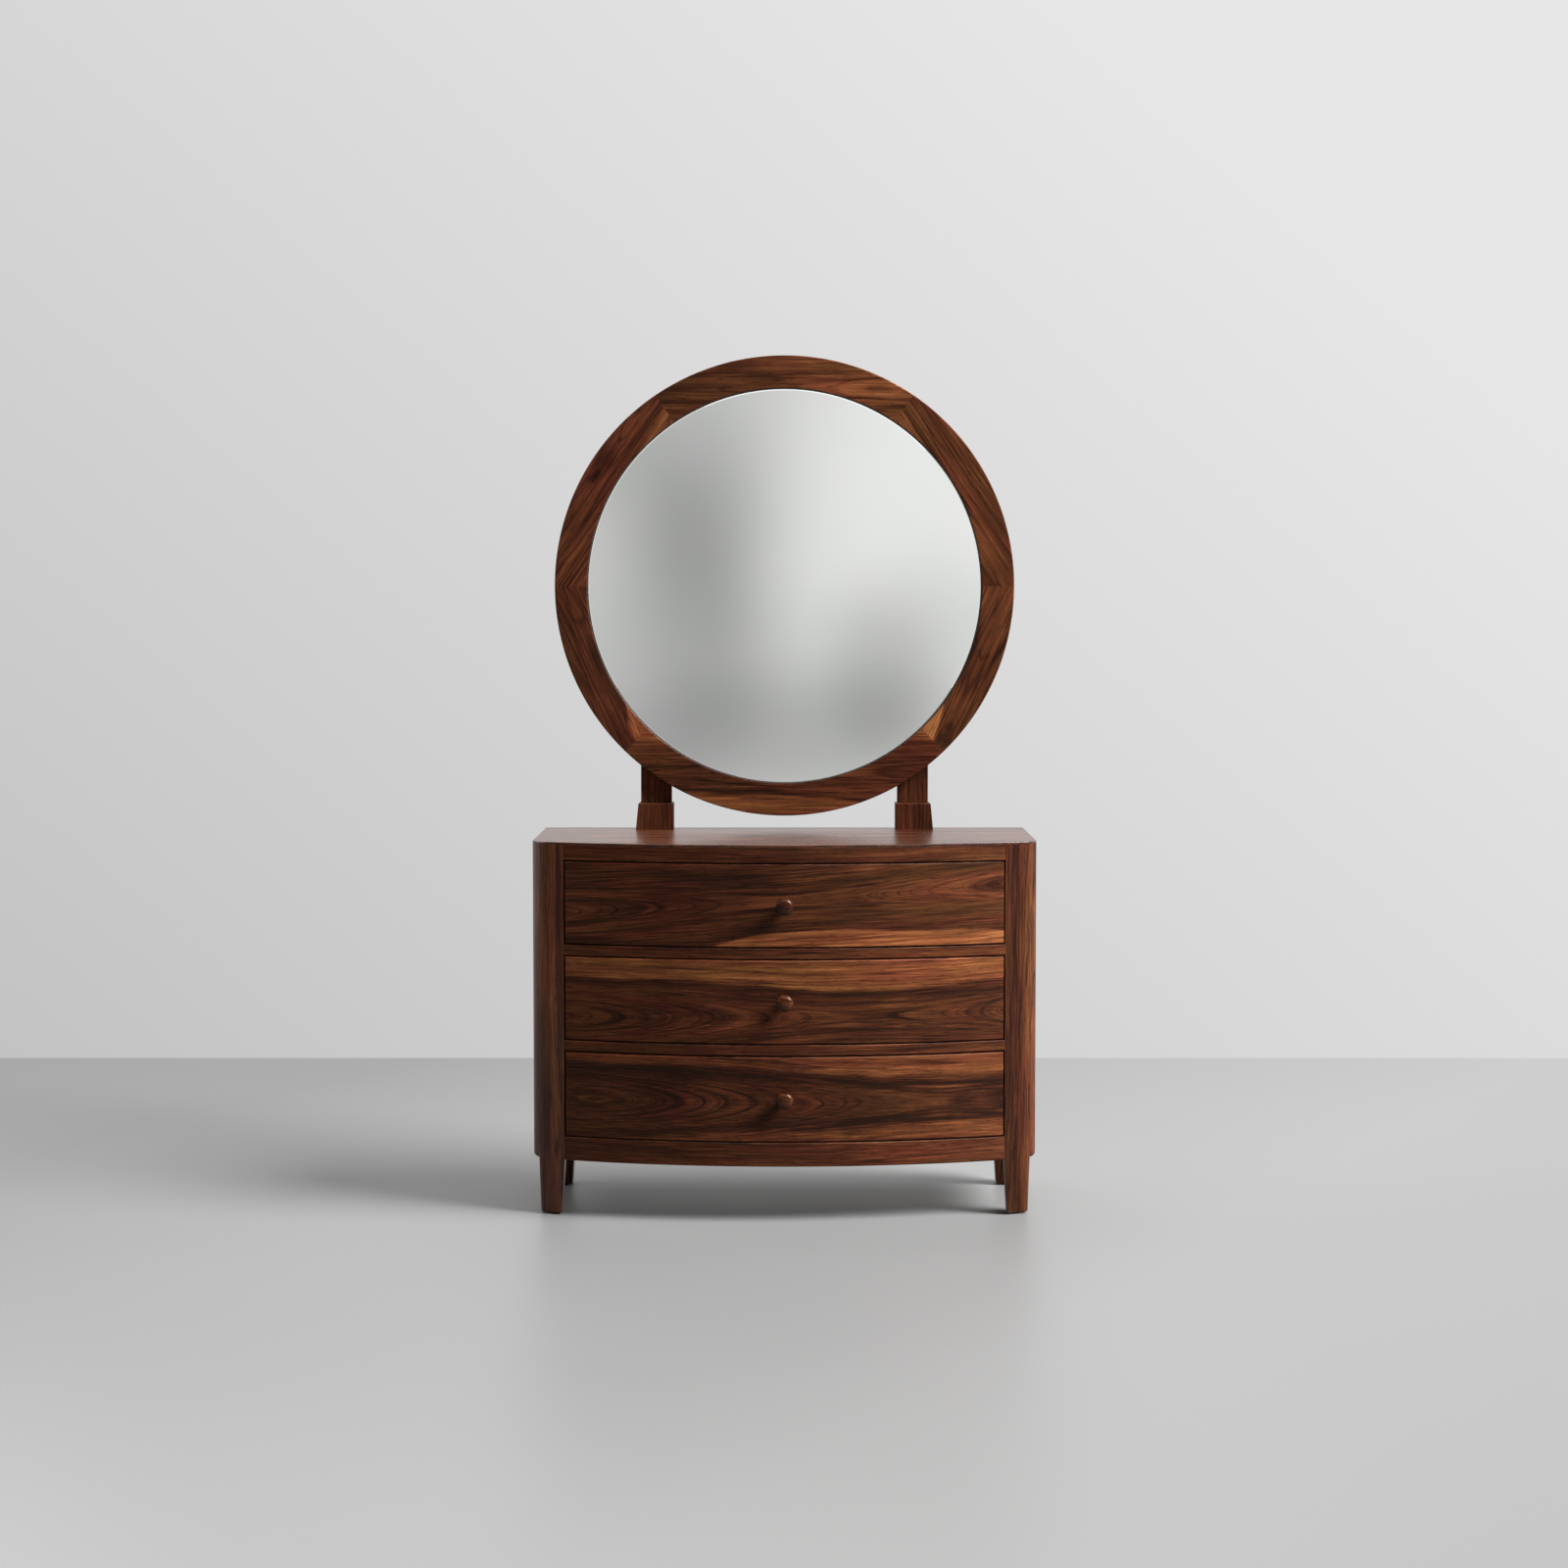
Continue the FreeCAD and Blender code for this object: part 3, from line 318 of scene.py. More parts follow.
def log_rings(tree, place, pith, turn, bow):
    """The fibres' coordinates, the log's bend, and its rings as (distance, place along, log).

    pith is a point on the log's middle line, in metres, turn is how the log, first laid
    along X, is turned, in degrees, and bow is how far back a bowed board's fibres are one
    metre from its middle. The pith follows half of that."""
    log = add(tree, "Mapping", {"Vector": place, "Location": pith,
                                "Rotation": [math.radians(t) for t in turn]},
              vector_type="TEXTURE")
    along, back, up = add(tree, "SeparateXYZ", {0: log.outputs[0]}).outputs
    square = add(tree, "Math", {0: along, 1: along}, operation="MULTIPLY").outputs[0]
    straight = add(tree, "Math", {0: square, 1: -bow, 2: back}, operation="MULTIPLY_ADD")
    fibre = add(tree, "CombineXYZ", {0: along, 1: straight.outputs[0], 2: up}).outputs[0]
    # Over about 400 mm along and 110 mm across, the rings wander by a few hundredths.
    bend = stretched(tree, fibre, (2.4, 9.0, 9.0), 3.0)
    wander = add(tree, "Math", {0: bend, 1: WANDER, 2: 1.0}, operation="MULTIPLY_ADD")
    behind = add(tree, "Math", {0: square, 1: -bow / 2, 2: back}, operation="MULTIPLY_ADD")
    squeezed = add(tree, "Math", {0: up, 1: OVAL if bow else 1.0}, operation="MULTIPLY")
    away = add(tree, "CombineXYZ", {1: behind.outputs[0], 2: squeezed.outputs[0]})
    away = add(tree, "VectorMath", {0: away.outputs[0]}, operation="LENGTH")
    ring = add(tree, "Math", {0: away.outputs["Value"], 1: wander.outputs[0]},
               operation="MULTIPLY")
    rings = add(tree, "CombineXYZ", {0: ring.outputs[0], 1: along, 2: LOGS_APART * pith[2]})
    return fibre, bend, rings.outputs[0]


print("a log is laid along X, then turned and moved for each board")

# %% [markdown]
# On the rings lie five sizes of figure, from broad zones to dashes, then dark veins, which
# run where a slow pattern crosses its middle value as the lines of a map do, and pores.
# Each is a number that makes the wood lighter or darker, and they are simply added up. A
# picture of veneer would be quicker, but it would show the same board again and again.
# Real dashes are 1 mm wide and real pores 0.2 mm, which is less than a pixel here, so both
# are drawn coarser.

# %% Streaks, veins and pores
def figure(tree, tone, fibre, rings):
    """How light the wood is at a point, around 0.5, from all its sizes of figure."""
    total = tone
    # Field, patches a metre each way along it, detail and weight.
    for field, per_metre, detail, weight in (
            (rings, (16.0, 0.7, 1.0), 2.0, 0.28),       # zones 60 mm wide
            (rings, (75.0, 2.0, 1.0), 3.0, 0.26),       # streaks 13 mm wide
            (rings, (230.0, 5.0, 1.0), 2.0, 0.42),      # fine streaks 4 mm wide
            (fibre, (8.0, 150.0, 380.0), 3.0, 0.54),    # dashes 3 mm wide
            (fibre, (5.0, 14.0, 14.0), 3.0, 0.24)):     # clouds 70 mm wide
        total = add(tree, "Math", {0: stretched(tree, field, per_metre, detail), 1: weight,
                                   2: total}, operation="MULTIPLY_ADD").outputs[0]
    # Veins about 18, 8 and 4 mm apart: how far from the middle value they reach, and depth.
    for per_metre, wide, depth in (((55.0, 0.9, 1.0), 0.024, -0.15),
                                   ((130.0, 1.8, 1.0), 0.024, -0.15),
                                   ((280.0, 3.5, 1.0), 0.030, -0.12)):
        vein = add(tree, "Math", {0: stretched(tree, rings, per_metre, 1.0)},
                   operation="ABSOLUTE")
        vein = add(tree, "MapRange", {"Value": vein.outputs[0], "From Max": wide,
                                      "To Min": depth, "To Max": 0.0},
                   interpolation_type="SMOOTHSTEP")
        total = add(tree, "Math", {0: total, 1: vein.outputs["Result"]}).outputs[0]
    # Pores 22 mm long and 2 mm wide.
    pore = add(tree, "MapRange", {"Value": stretched(tree, fibre, (45.0, 300.0, 520.0)),
                                  "From Min": 0.06, "From Max": 0.20, "To Max": -0.15})
    return add(tree, "Math", {0: total, 1: pore.outputs["Result"]}).outputs[0]


print("figure: zones, streaks, fine streaks, dashes, clouds, veins and pores")

# %% [markdown]
# A cabinet maker picks boards for their pale bands of younger wood and puts them where they
# look best. Chance would put such bands anywhere, so they are drawn: two lines along a
# board, with soft edges that follow the bend of the log. A broad and very soft band over
# the middle and left of a bowed front is painted shade: it darkens the wood where the bow
# turns away from the window.

# %% Bands drawn along a board
MARGIN = 0.1     # the lines may run this far outside a board, as a part of its width
FOLLOW = 0.05    # m, how far the bend of the log moves a band's edges
UNDER = ((0.0, -MARGIN), (1.0, -MARGIN))              # a line below the whole board
OVER = ((0.0, 1.0 + MARGIN), (1.0, 1.0 + MARGIN))     # a line above the whole board
# A band is (strength, blur, lower line, upper line). The painted shade band lies over the middle
# and left of the board.
PAINTED_SHADE_BAND = (-0.06, 0.5, UNDER,
         ((0.0, -0.1), (0.1, -0.1), (0.25, 1.1), (0.62, 1.1), (0.8, -0.1), (1.0, -0.1)))


def drawn_band(tree, board, size, soft, low, high, bend):
    """1 between two lines drawn along a board, 0 outside them.

    board is a point in the board's own frame, size its half length and half width in
    metres, soft the blur of the edges, and the lines are points from 0 to 1 along the
    board and from 0 to 1 across it."""
    whole = 1.0 + 2 * MARGIN
    along = add(tree, "MapRange", {"Value": board.outputs["X"], "From Min": -size[0],
                                   "From Max": size[0]})
    lifted = add(tree, "Math", {0: bend, 1: FOLLOW, 2: board.outputs["Z"]},
                 operation="MULTIPLY_ADD")
    up = add(tree, "MapRange", {"Value": lifted.outputs[0], "From Min": -whole * size[1],
                                "From Max": whole * size[1]}, clamp=False)
    edges = []
    for points, rising in ((low, 1.0), (high, -1.0)):
        line = add(tree, "FloatCurve", {"Value": along.outputs["Result"]})
        curve = line.mapping.curves[0]
        for _ in points[2:]:
            curve.points.new(0.5, 0.5)
        for point, (u, v) in zip(curve.points, points):
            point.location = (u, (v + MARGIN) / whole)
        line.mapping.update()
        gap = add(tree, "Math", {0: up.outputs["Result"], 1: line.outputs[0]},
                  operation="SUBTRACT")
        edges.append(add(tree, "MapRange", {"Value": gap.outputs[0], "From Min": -soft * rising,
                                            "From Max": soft * rising},
                         interpolation_type="SMOOTHSTEP").outputs["Result"])
    return add(tree, "Math", {0: edges[0], 1: edges[1]}, operation="MULTIPLY").outputs[0]


print("bands run from", UNDER[0][1], "to", OVER[0][1], "across a board")

# %% [markdown]
# The finish itself is planed rosewood under a rubbed satin lacquer. To the eye that is a
# deep red-brown from nearly black to orange, never one hue for long, under a soft sheen
# that shows lamps only as a broad glow. The pale wood is a little smoother than the open,
# dark wood, and the pores leave a trace of relief that the lacquer doesn't quite fill. A
# clear coat over the wood could give the sheen too, but one shader layer is enough for it.

# %% Rosewood
RED_BROWN = ((0.14, "#250f06"), (0.34, "#482313"), (0.50, "#693821"), (0.66, "#8d502f"),
             (0.86, "#c67d4d"))
UNEVEN = 0.04    # how much rougher the darkest wood is, and how much smoother the palest


def rosewood(name, pith, turn, tone=0.5, board=None, bands=(), bow=0.0, shine=0.14, rough=0.46):
    """Lacquered rosewood from a log whose pith passes through a point.

    tone shifts the board lighter or darker. board is (x, z, lean, half length, half width)
    of the sawn board, for bands of (strength, blur, lower line, upper line) drawn on it."""
    material, tree = new_material(name)
    place = add(tree, "TexCoord").outputs["Object"]
    fibre, bend, rings = log_rings(tree, place, pith, turn, bow)
    total = figure(tree, tone, fibre, rings)
    if board:
        x, z, lean, *size = board
        sawn = add(tree, "Mapping", {"Vector": place, "Location": (x, 0.0, z),
                                     "Rotation": (0.0, math.radians(-lean), 0.0)},
                   vector_type="TEXTURE")
        sawn = add(tree, "SeparateXYZ", {0: sawn.outputs[0]})
        for strength, soft, low, high in bands:
            mask = drawn_band(tree, sawn, size, soft, low, high, bend)
            total = add(tree, "Math", {0: mask, 1: strength, 2: total},
                        operation="MULTIPLY_ADD").outputs[0]
    colour = add(tree, "ValToRGB", {0: total})
    set_ramp(colour.color_ramp, RED_BROWN)
    # Minerals tint the wood from wine red to olive, in streaks about 25 mm wide.
    mineral = stretched(tree, rings, (38.0, 3.0, 1.0))
    hue = add(tree, "Math", {0: mineral, 1: 0.05, 2: 0.502}, operation="MULTIPLY_ADD")
    colour = add(tree, "HueSaturation", {"Hue": hue.outputs[0], "Color": colour.outputs["Color"]})
    gloss = add(tree, "MapRange", {"Value": total, "From Min": 0.1, "From Max": 0.9,
                                   "To Min": rough + UNEVEN, "To Max": rough - UNEVEN})
    bump = add(tree, "Bump", {"Height": total, "Strength": 0.12, "Distance": 0.0006})
    wood = add(tree, "BsdfPrincipled", {"Base Color": colour.outputs["Color"],
                                        "Roughness": gloss.outputs["Result"], "IOR": 1.5,
                                        "Specular IOR Level": shine,
                                        "Normal": bump.outputs["Normal"]})
    add(tree, "OutputMaterial", {"Surface": wood.outputs[0]})
    return material


print("rosewood runs from", RED_BROWN[0][1], "to", RED_BROWN[-1][1])

# %% [markdown]
# A solid gets its finish by a swap of its material, which leaves its mesh as it was. To
# draw bands on a board, its place and size are needed. They could be typed in, but the
# solid's own box gives them, and they stay right if the solid is ever changed.

# %% Dress a solid
def dress(material, *names):
    """Puts a finish on solids, in place of what they were loaded with."""
    for name in names:
        nodes[name].data.materials.clear()
        nodes[name].data.materials.append(material)
    print(material.name, "on", ", ".join(names))


def face_board(name):
    """Middle, lean and half sizes of a board that faces the front, for the bands drawn on it."""
    low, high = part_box(name)
    middle_x, middle_z = (low.x + high.x) / 2, (low.z + high.z) / 2
    return middle_x, middle_z, 0.0, (high.x - low.x) / 2, (high.z - low.z) / 2


print("top drawer's board:", [round(v, 4) for v in face_board("top_drawer_front")])

# %% [markdown]
# The three drawer fronts are the showpiece: each is one wide board with its grain running
# across, and its pith passes 50 to 80 mm behind the middle of the face. The top one has a
# broad pale band along its foot that starts near the middle, a dark wave along its head,
# and nested arcs that climb to the right, because its log leans by a few degrees.

# %% Top drawer front
board = face_board("top_drawer_front")
top_bands = (
    PAINTED_SHADE_BAND,
    (0.28, 0.015, UNDER,
     ((0.0, -0.1), (0.28, -0.1), (0.36, 0.04), (0.45, 0.14), (0.55, 0.18), (0.8, 0.18),
      (1.0, 0.15))),
    (-0.13, 0.02, ((0.0, -0.1), (0.40, -0.1), (0.50, 0.06), (0.6, 0.08), (1.0, 0.07)),
     ((0.0, -0.1), (0.42, -0.1), (0.50, 0.08), (0.6, 0.10), (1.0, 0.09))),
    (-0.12, 0.04, ((0.0, -0.05), (0.3, 0.0), (0.45, 0.14), (0.55, 0.18), (1.0, 0.18)),
     ((0.0, 0.08), (0.3, 0.10), (0.45, 0.21), (0.55, 0.19), (1.0, 0.18))),
    (-0.15, 0.05,
     ((0.0, 0.85), (0.2, 0.80), (0.4, 0.75), (0.53, 0.74), (0.7, 0.83), (0.85, 0.92),
      (1.0, 0.97)),
     ((0.0, 0.93), (0.2, 0.89), (0.4, 0.84), (0.53, 0.81), (0.7, 0.89), (0.85, 0.97),
      (1.0, 1.02))))
dress(rosewood("rosewood_top_drawer", (0.0, -0.1785, 0.645), (0.0, -3.7, 0.0), 0.43,
               board, top_bands, BOW), "top_drawer_front")

# %% [markdown]
# The middle front has the widest pale band, along its head, with a dark vein inside it and
# a dark edge under it. Its log is turned a little, so the arcs at its two ends differ.

# %% Middle drawer front
board = face_board("middle_drawer_front")
middle_bands = (
    PAINTED_SHADE_BAND,
    (0.20, 0.02,
     ((0.0, 0.74), (0.2, 0.72), (0.4, 0.68), (0.6, 0.66), (0.8, 0.70), (1.0, 0.77)), OVER),
    (-0.10, 0.02, ((0.0, 0.84), (0.25, 0.86), (0.5, 0.82), (1.0, 0.82)),
     ((0.0, 0.88), (0.25, 0.90), (0.5, 0.84), (1.0, 0.82))),
    (-0.16, 0.03, ((0.0, 0.68), (0.2, 0.65), (0.3, 0.64), (0.6, 0.58), (1.0, 0.60)),
     ((0.0, 0.74), (0.2, 0.70), (0.3, 0.65), (0.6, 0.65), (1.0, 0.66))))
dress(rosewood("rosewood_middle_drawer", (0.0, -0.1555, 0.412), (0.0, -0.8, 4.0), 0.405,
               board, middle_bands, BOW), "middle_drawer_front")

# %% [markdown]
# The bottom front is pale along its head and its foot, both times towards the right, and
# has long ovals on the left, where the pith of its turned log comes up to the face.

# %% Bottom drawer front
board = face_board("bottom_drawer_front")
bottom_bands = (
    PAINTED_SHADE_BAND,
    (0.18, 0.02, ((0.0, 0.88), (0.2, 0.86), (0.4, 0.84), (0.7, 0.80), (1.0, 0.79)), OVER),
    (-0.10, 0.08, ((0.0, 0.60), (0.3, 0.70), (0.5, 0.9), (1.0, 1.1)),
     ((0.0, 0.98), (0.3, 0.92), (0.5, 0.91), (1.0, 1.1))),
    (-0.12, 0.03, ((0.0, 0.80), (0.4, 0.72), (0.7, 0.68), (1.0, 0.66)),
     ((0.0, 0.86), (0.4, 0.79), (0.7, 0.74), (1.0, 0.73))),
    (0.14, 0.02, UNDER, ((0.0, -0.05), (0.2, 0.03), (0.35, 0.09), (0.6, 0.15), (1.0, 0.18))),
    (-0.12, 0.03, ((0.0, 0.05), (0.3, 0.12), (0.6, 0.20), (1.0, 0.22)),
     ((0.0, 0.10), (0.3, 0.17), (0.6, 0.26), (1.0, 0.28))))
dress(rosewood("rosewood_bottom_drawer", (0.0, -0.1500, 0.2405), (0.0, 0.0, 7.6), 0.395,
               board, bottom_bands, BOW), "bottom_drawer_front")

# %% [markdown]
# The rest of the case is cut from other boards of the same wood. Rails, apron and top have
# their grain along the table. The top is seen almost edge on, where even a satin surface
# mirrors the wall behind it, so it is rubbed smoother and looks paler than the rest. One
# log could serve all the rails, but each has its own, so that no streak repeats.

# %% Top, rails and apron
dress(rosewood("rosewood_top", (0.0, 0.02, 0.62), (0.0, 1.5, 0.8), 0.40,
               shine=0.70, rough=0.255), "top_panel")
# Painted shade: the left part of a rail is darker, where the bow turns away from the window.
PAINTED_SHADE_END = (-0.12, 0.4, UNDER, ((0.0, 1.1), (0.45, 1.1), (0.8, -0.1), (1.0, -0.1)))
# Rail, how far below it the pith passes, in m, and its tone.
RAILS = (("top_rail", 0.25, 0.505), ("drawer_rail_upper", 0.42, 0.485),
         ("drawer_rail_lower", 0.24, 0.485), ("bottom_rail", 0.30, 0.485),
         ("apron", 0.28, 0.46))
for rail, depth, tone in RAILS:
    board = face_board(rail)
    dress(rosewood("rosewood_" + rail, (0.1, -0.06, board[1] - depth), (0.0, 0.4, 1.0), tone,
                   board, (PAINTED_SHADE_END,), BOW), rail)
dress(rosewood("rosewood_back_rails", (0.0, 0.32, 0.3), (0.0, 0.5, 0.6), 0.46),
      "back_rail_top", "back_rail_bottom")

# %% [markdown]
# Posts and sides have upright grain. Each post has a pale strip and a dark one, placed as
# on the drawers, but on a board that stands up: its lean is 90 degrees, so "along" is up
# and "across" is from right to left. The left post faces away from the window and shows
# the room in its lacquer, so its lacquer is the smoother of the two.

# %% Posts and sides
POST_MIDDLE = 0.477     # m from the middle of the table to the middle of a post
POST_BOARD = (0.4, 90.0, 0.4, 0.033)    # height of its middle, lean, half length, half width
left_bands = (
    (0.14, 0.06, ((0.0, 0.22), (0.5, 0.20), (1.0, 0.24)), ((0.0, 0.40), (0.5, 0.44), (1.0, 0.42))),
    (-0.12, 0.05, ((0.0, 0.06), (1.0, 0.08)), ((0.0, 0.16), (1.0, 0.16))))
right_bands = (
    (0.06, 0.06, ((0.0, 0.14), (0.5, 0.12), (1.0, 0.16)), ((0.0, 0.40), (0.5, 0.36), (1.0, 0.42))),
    (-0.10, 0.08, ((0.0, 0.55), (0.5, 0.60), (1.0, 0.55)), OVER))
dress(rosewood("rosewood_left_post", (-0.25, -0.05, 0.4), (0.0, -90.0, 0.5), 0.45,
               (-POST_MIDDLE, *POST_BOARD), left_bands, shine=0.32, rough=0.24),
      "front_post_left", "rear_post_left")
dress(rosewood("rosewood_right_post", (0.22, -0.02, 0.4), (0.0, -89.6, 0.0), 0.41,
               (POST_MIDDLE, *POST_BOARD), right_bands),
      "front_post_right", "rear_post_right")
dress(rosewood("rosewood_left_side", (-0.42, 0.30, 0.4), (0.0, -90.4, 0.5), 0.43),
      "side_panel_left")
dress(rosewood("rosewood_right_side", (0.42, 0.25, 0.4), (0.0, -89.5, 0.5), 0.41),
      "side_panel_right")

# %% [markdown]
# The mirror's ring is built of six curved segments, each sawn from a straight board, so
# the grain changes direction at every mitre. The boards left and right have a pale strip
# along their inner edge. The ring's round opening cuts that strip away except beside the
# joints, and that is what leaves the small chevrons there. The bottom board has a dark
# vein along it, with paler wood below.

# %% Boards of the mirror ring
# Segment, direction of its middle, half its angle, lean of its grain, tone and its bands.
# Painted light: the segments on the right get a lighter tone than those on the left, and the top
# one a broad, very soft pale band over its right part, so that the ring is lighter towards the
# window.
SEGMENTS = (
    ("top", 90.0, 34.0, 0.0, 0.44,
     ((-0.14, 0.02, ((0.0, 0.17), (1.0, 0.17)), ((0.0, 0.20), (1.0, 0.20))),
      (0.20, 0.40, ((0.0, 1.1), (0.30, 1.1), (0.85, -0.1), (1.0, -0.1)), OVER))),
    ("upper_left", 152.0, 25.0, 56.0, 0.43,
     ((0.15, 0.03, UNDER, ((0.0, -0.1), (0.60, -0.1), (0.67, 0.32), (0.85, 0.40), (1.0, 0.44))),)),
    ("lower_left", 203.0, 25.0, -65.0, 0.43,
     ((0.28, 0.03, ((0.0, 1.1), (0.62, 1.1), (0.67, 0.68), (0.80, 0.56), (1.0, 0.42)), OVER),)),
    ("bottom", 270.0, 44.0, 0.0, 0.435,
     ((0.22, 0.02, ((0.0, 0.85), (1.0, 0.85)), OVER),
      (-0.14, 0.012, ((0.0, 0.28), (0.20, 0.26), (0.50, 0.225), (0.76, 0.165), (1.0, 0.12)),
       ((0.0, 0.31), (0.20, 0.30), (0.50, 0.265), (0.76, 0.205), (1.0, 0.15))),
      (0.12, 0.02, UNDER, ((0.0, 0.27), (0.20, 0.25), (0.50, 0.22), (0.76, 0.16), (1.0, 0.11))))),
    ("lower_right", 337.0, 25.0, 65.0, 0.48,
     ((0.26, 0.03, ((0.0, 0.42), (0.20, 0.56), (0.33, 0.68), (0.38, 1.1), (1.0, 1.1)), OVER),)),
    ("upper_right", 28.0, 25.0, -56.0, 0.48,
     ((0.12, 0.03, UNDER, ((0.0, 0.44), (0.15, 0.40), (0.33, 0.32), (0.40, -0.1), (1.0, -0.1))),)))
print("ring segments:", [segment[0] for segment in SEGMENTS])

# %% [markdown]
# Beside the glass, the wall of the ring's opening is painted nearly black: painted shade,
# for the shadow in the opening beside the glass, so that the mirror's edge doesn't show a
# bright line of bare wood. A separate lining could stand there, but the wall is part of the
# segment, so the painted shade is mixed into the wood's colour by the distance from the
# middle of the ring.

# %% Mirror ring
RING_MIDDLE = 1.270      # m above the floor
RING_INSIDE, RING_OUTSIDE = 0.415, 0.4835    # m, radii
SHADE_EDGE = (0.0003, 0.0009)                # m from the wall, where the painted shade fades out
HALF_BOARD = 0.30        # m, half the length of a segment's board
PITH_BACK = 0.13         # m behind the middle of the table


def shade_opening_wall(material):
    """Paints shade, nearly black, on the wall of the ring's opening, where it meets the glass."""
    tree = material.node_tree
    wood = tree.nodes["Principled BSDF"]
    bare = wood.inputs["Base Color"].links[0].from_socket
    place = add(tree, "TexCoord").outputs["Object"]
    away = add(tree, "VectorMath", {0: place, 1: (0.0, 0.0, RING_MIDDLE)}, operation="SUBTRACT")
    away = add(tree, "VectorMath", {0: away.outputs[0], 1: (1.0, 0.0, 1.0)}, operation="MULTIPLY")
    away = add(tree, "VectorMath", {0: away.outputs[0]}, operation="LENGTH")
    front = add(tree, "MapRange", {"Value": away.outputs["Value"],
                                   "From Min": RING_INSIDE + SHADE_EDGE[0],
                                   "From Max": RING_INSIDE + SHADE_EDGE[1]})
    # Painted shade: the wall of the opening turns nearly black.
    shaded_wall = add(tree, "Mix", {0: front.outputs["Result"], 6: linear("#1a0c07"), 7: bare},
                  data_type="RGBA")
    tree.links.new(shaded_wall.outputs[2], wood.inputs["Base Color"])
    return material


for piece, towards, half_angle, lean, tone, bands in SEGMENTS:
    c, s = math.cos(math.radians(towards)), math.sin(math.radians(towards))
    ends = RING_INSIDE * math.cos(math.radians(half_angle))
    middle, half = (RING_OUTSIDE + ends) / 2, (RING_OUTSIDE - ends) / 2
    x, z = middle * c, RING_MIDDLE + middle * s
    # The pith's point is at one end of the board.
    wood = rosewood("rosewood_ring_" + piece,
                    (x + HALF_BOARD * s, PITH_BACK, z - HALF_BOARD * c), (0.0, -lean, 0.5), tone,
                    (x, z, lean, HALF_BOARD, half), bands)
    dress(shade_opening_wall(wood), "mirror_frame_" + piece)

# %% [markdown]
# The two mirror posts and the shoes round their feet are upright pieces of the same wood.
# One finish could serve both, but the shoes come from a darker log than the posts, so they
# have a finish of their own.

# %% Mirror posts and shoes
dress(rosewood("rosewood_mirror_posts", (0.02, 0.10, 1.2), (0.0, -90.0, 0.0), 0.43),
      "mirror_post_left", "mirror_post_right")
dress(rosewood("rosewood_mirror_shoes", (0.02, 0.08, 0.8), (0.0, -90.0, 0.0), 0.37),
      "mirror_shoe_left", "mirror_shoe_right")

# %% [markdown]
# The looking-glass is float glass silvered behind. Glass over silver could be modelled as
# two layers, but the eye sees one bright, faintly green-grey metal sheet, so that is what
# it is here: perfectly sharp, with a tint that the silvering leaves uneven over patches of
# about 170 mm.

# %% Silvered glass
silver, tree = new_material("silvered_float_glass")
place = add(tree, "TexCoord").outputs["Object"]
haze = add(tree, "TexNoise", {"Vector": place, "Scale": 6.0, "Detail": 2.0})
tint = add(tree, "ValToRGB", {0: haze.outputs["Fac"]})
set_ramp(tint.color_ramp, ((0.3, "#f6f9f6"), (0.7, "#fafbf9")))
glass = add(tree, "BsdfPrincipled", {"Base Color": tint.outputs["Color"], "Metallic": 1.0,
                                     "Roughness": 0.0})
add(tree, "OutputMaterial", {"Surface": glass.outputs[0]})
dress(silver, "mirror_glass")

# %% [markdown]
# The glass has a narrow ground bevel, which shows as the thin bright line beside the wooden
# ring. A bevel modifier would do, but a disc that is pushed out twice and shrunk the second
# time gives the sloping rim with a clean, flat face, and flat is what a mirror needs: only
# edges under two degrees are shaded smooth, so the bevel doesn't bend the reflection.

# %% Looking-glass with a bevel
BEVEL = 0.0108         # m, width of the bevel up to the rim, most of it hidden by the ring
BEVEL_FALL = 0.0006    # m, how far the rim lies behind the face
low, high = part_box("mirror_glass")
rim = (high.x - low.x) / 2
middle = (0.0, 0.0, (low.z + high.z) / 2)
bpy.ops.object.select_all(action="DESELECT")
bpy.ops.mesh.primitive_circle_add(vertices=256, radius=rim, fill_type="NGON",
                                  location=(0.0, high.y, middle[2]),
                                  rotation=(math.radians(90.0), 0.0, 0.0))
pane = bpy.context.object
pane.name = "mirror_bevelled_glass"
bpy.ops.object.transform_apply(location=True, rotation=True, scale=True)
bpy.ops.object.mode_set(mode="EDIT")
bpy.ops.mesh.select_all(action="SELECT")
bpy.ops.mesh.extrude_region_move(
    TRANSFORM_OT_translate={"value": (0.0, low.y + BEVEL_FALL - high.y, 0.0)})
bpy.ops.mesh.extrude_region_move(TRANSFORM_OT_translate={"value": (0.0, -BEVEL_FALL, 0.0)})
bpy.ops.transform.resize(value=(1 - BEVEL / rim, 1.0, 1 - BEVEL / rim), center_override=middle)
bpy.ops.mesh.select_all(action="SELECT")
bpy.ops.mesh.normals_make_consistent(inside=False)
bpy.ops.object.mode_set(mode="OBJECT")
bpy.ops.object.shade_smooth_by_angle(angle=math.radians(2.0))
pane.data.materials.append(silver)
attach(pane, "case")
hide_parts("mirror_glass")
print("bevelled glass,", len(pane.data.polygons), "faces, radius", round(rim, 4))

# %% [markdown]
# Hidden parts are made from plainer stuff, as in any workshop: drawer sides and runners in
# a pale planed hardwood, the panels in plywood. They show when a drawer is open or the
# table is seen from behind. Unlacquered, they look dry and even, with straight fine grain.
# They could share the rosewood's rings, but a straight, stretched noise is all they show.

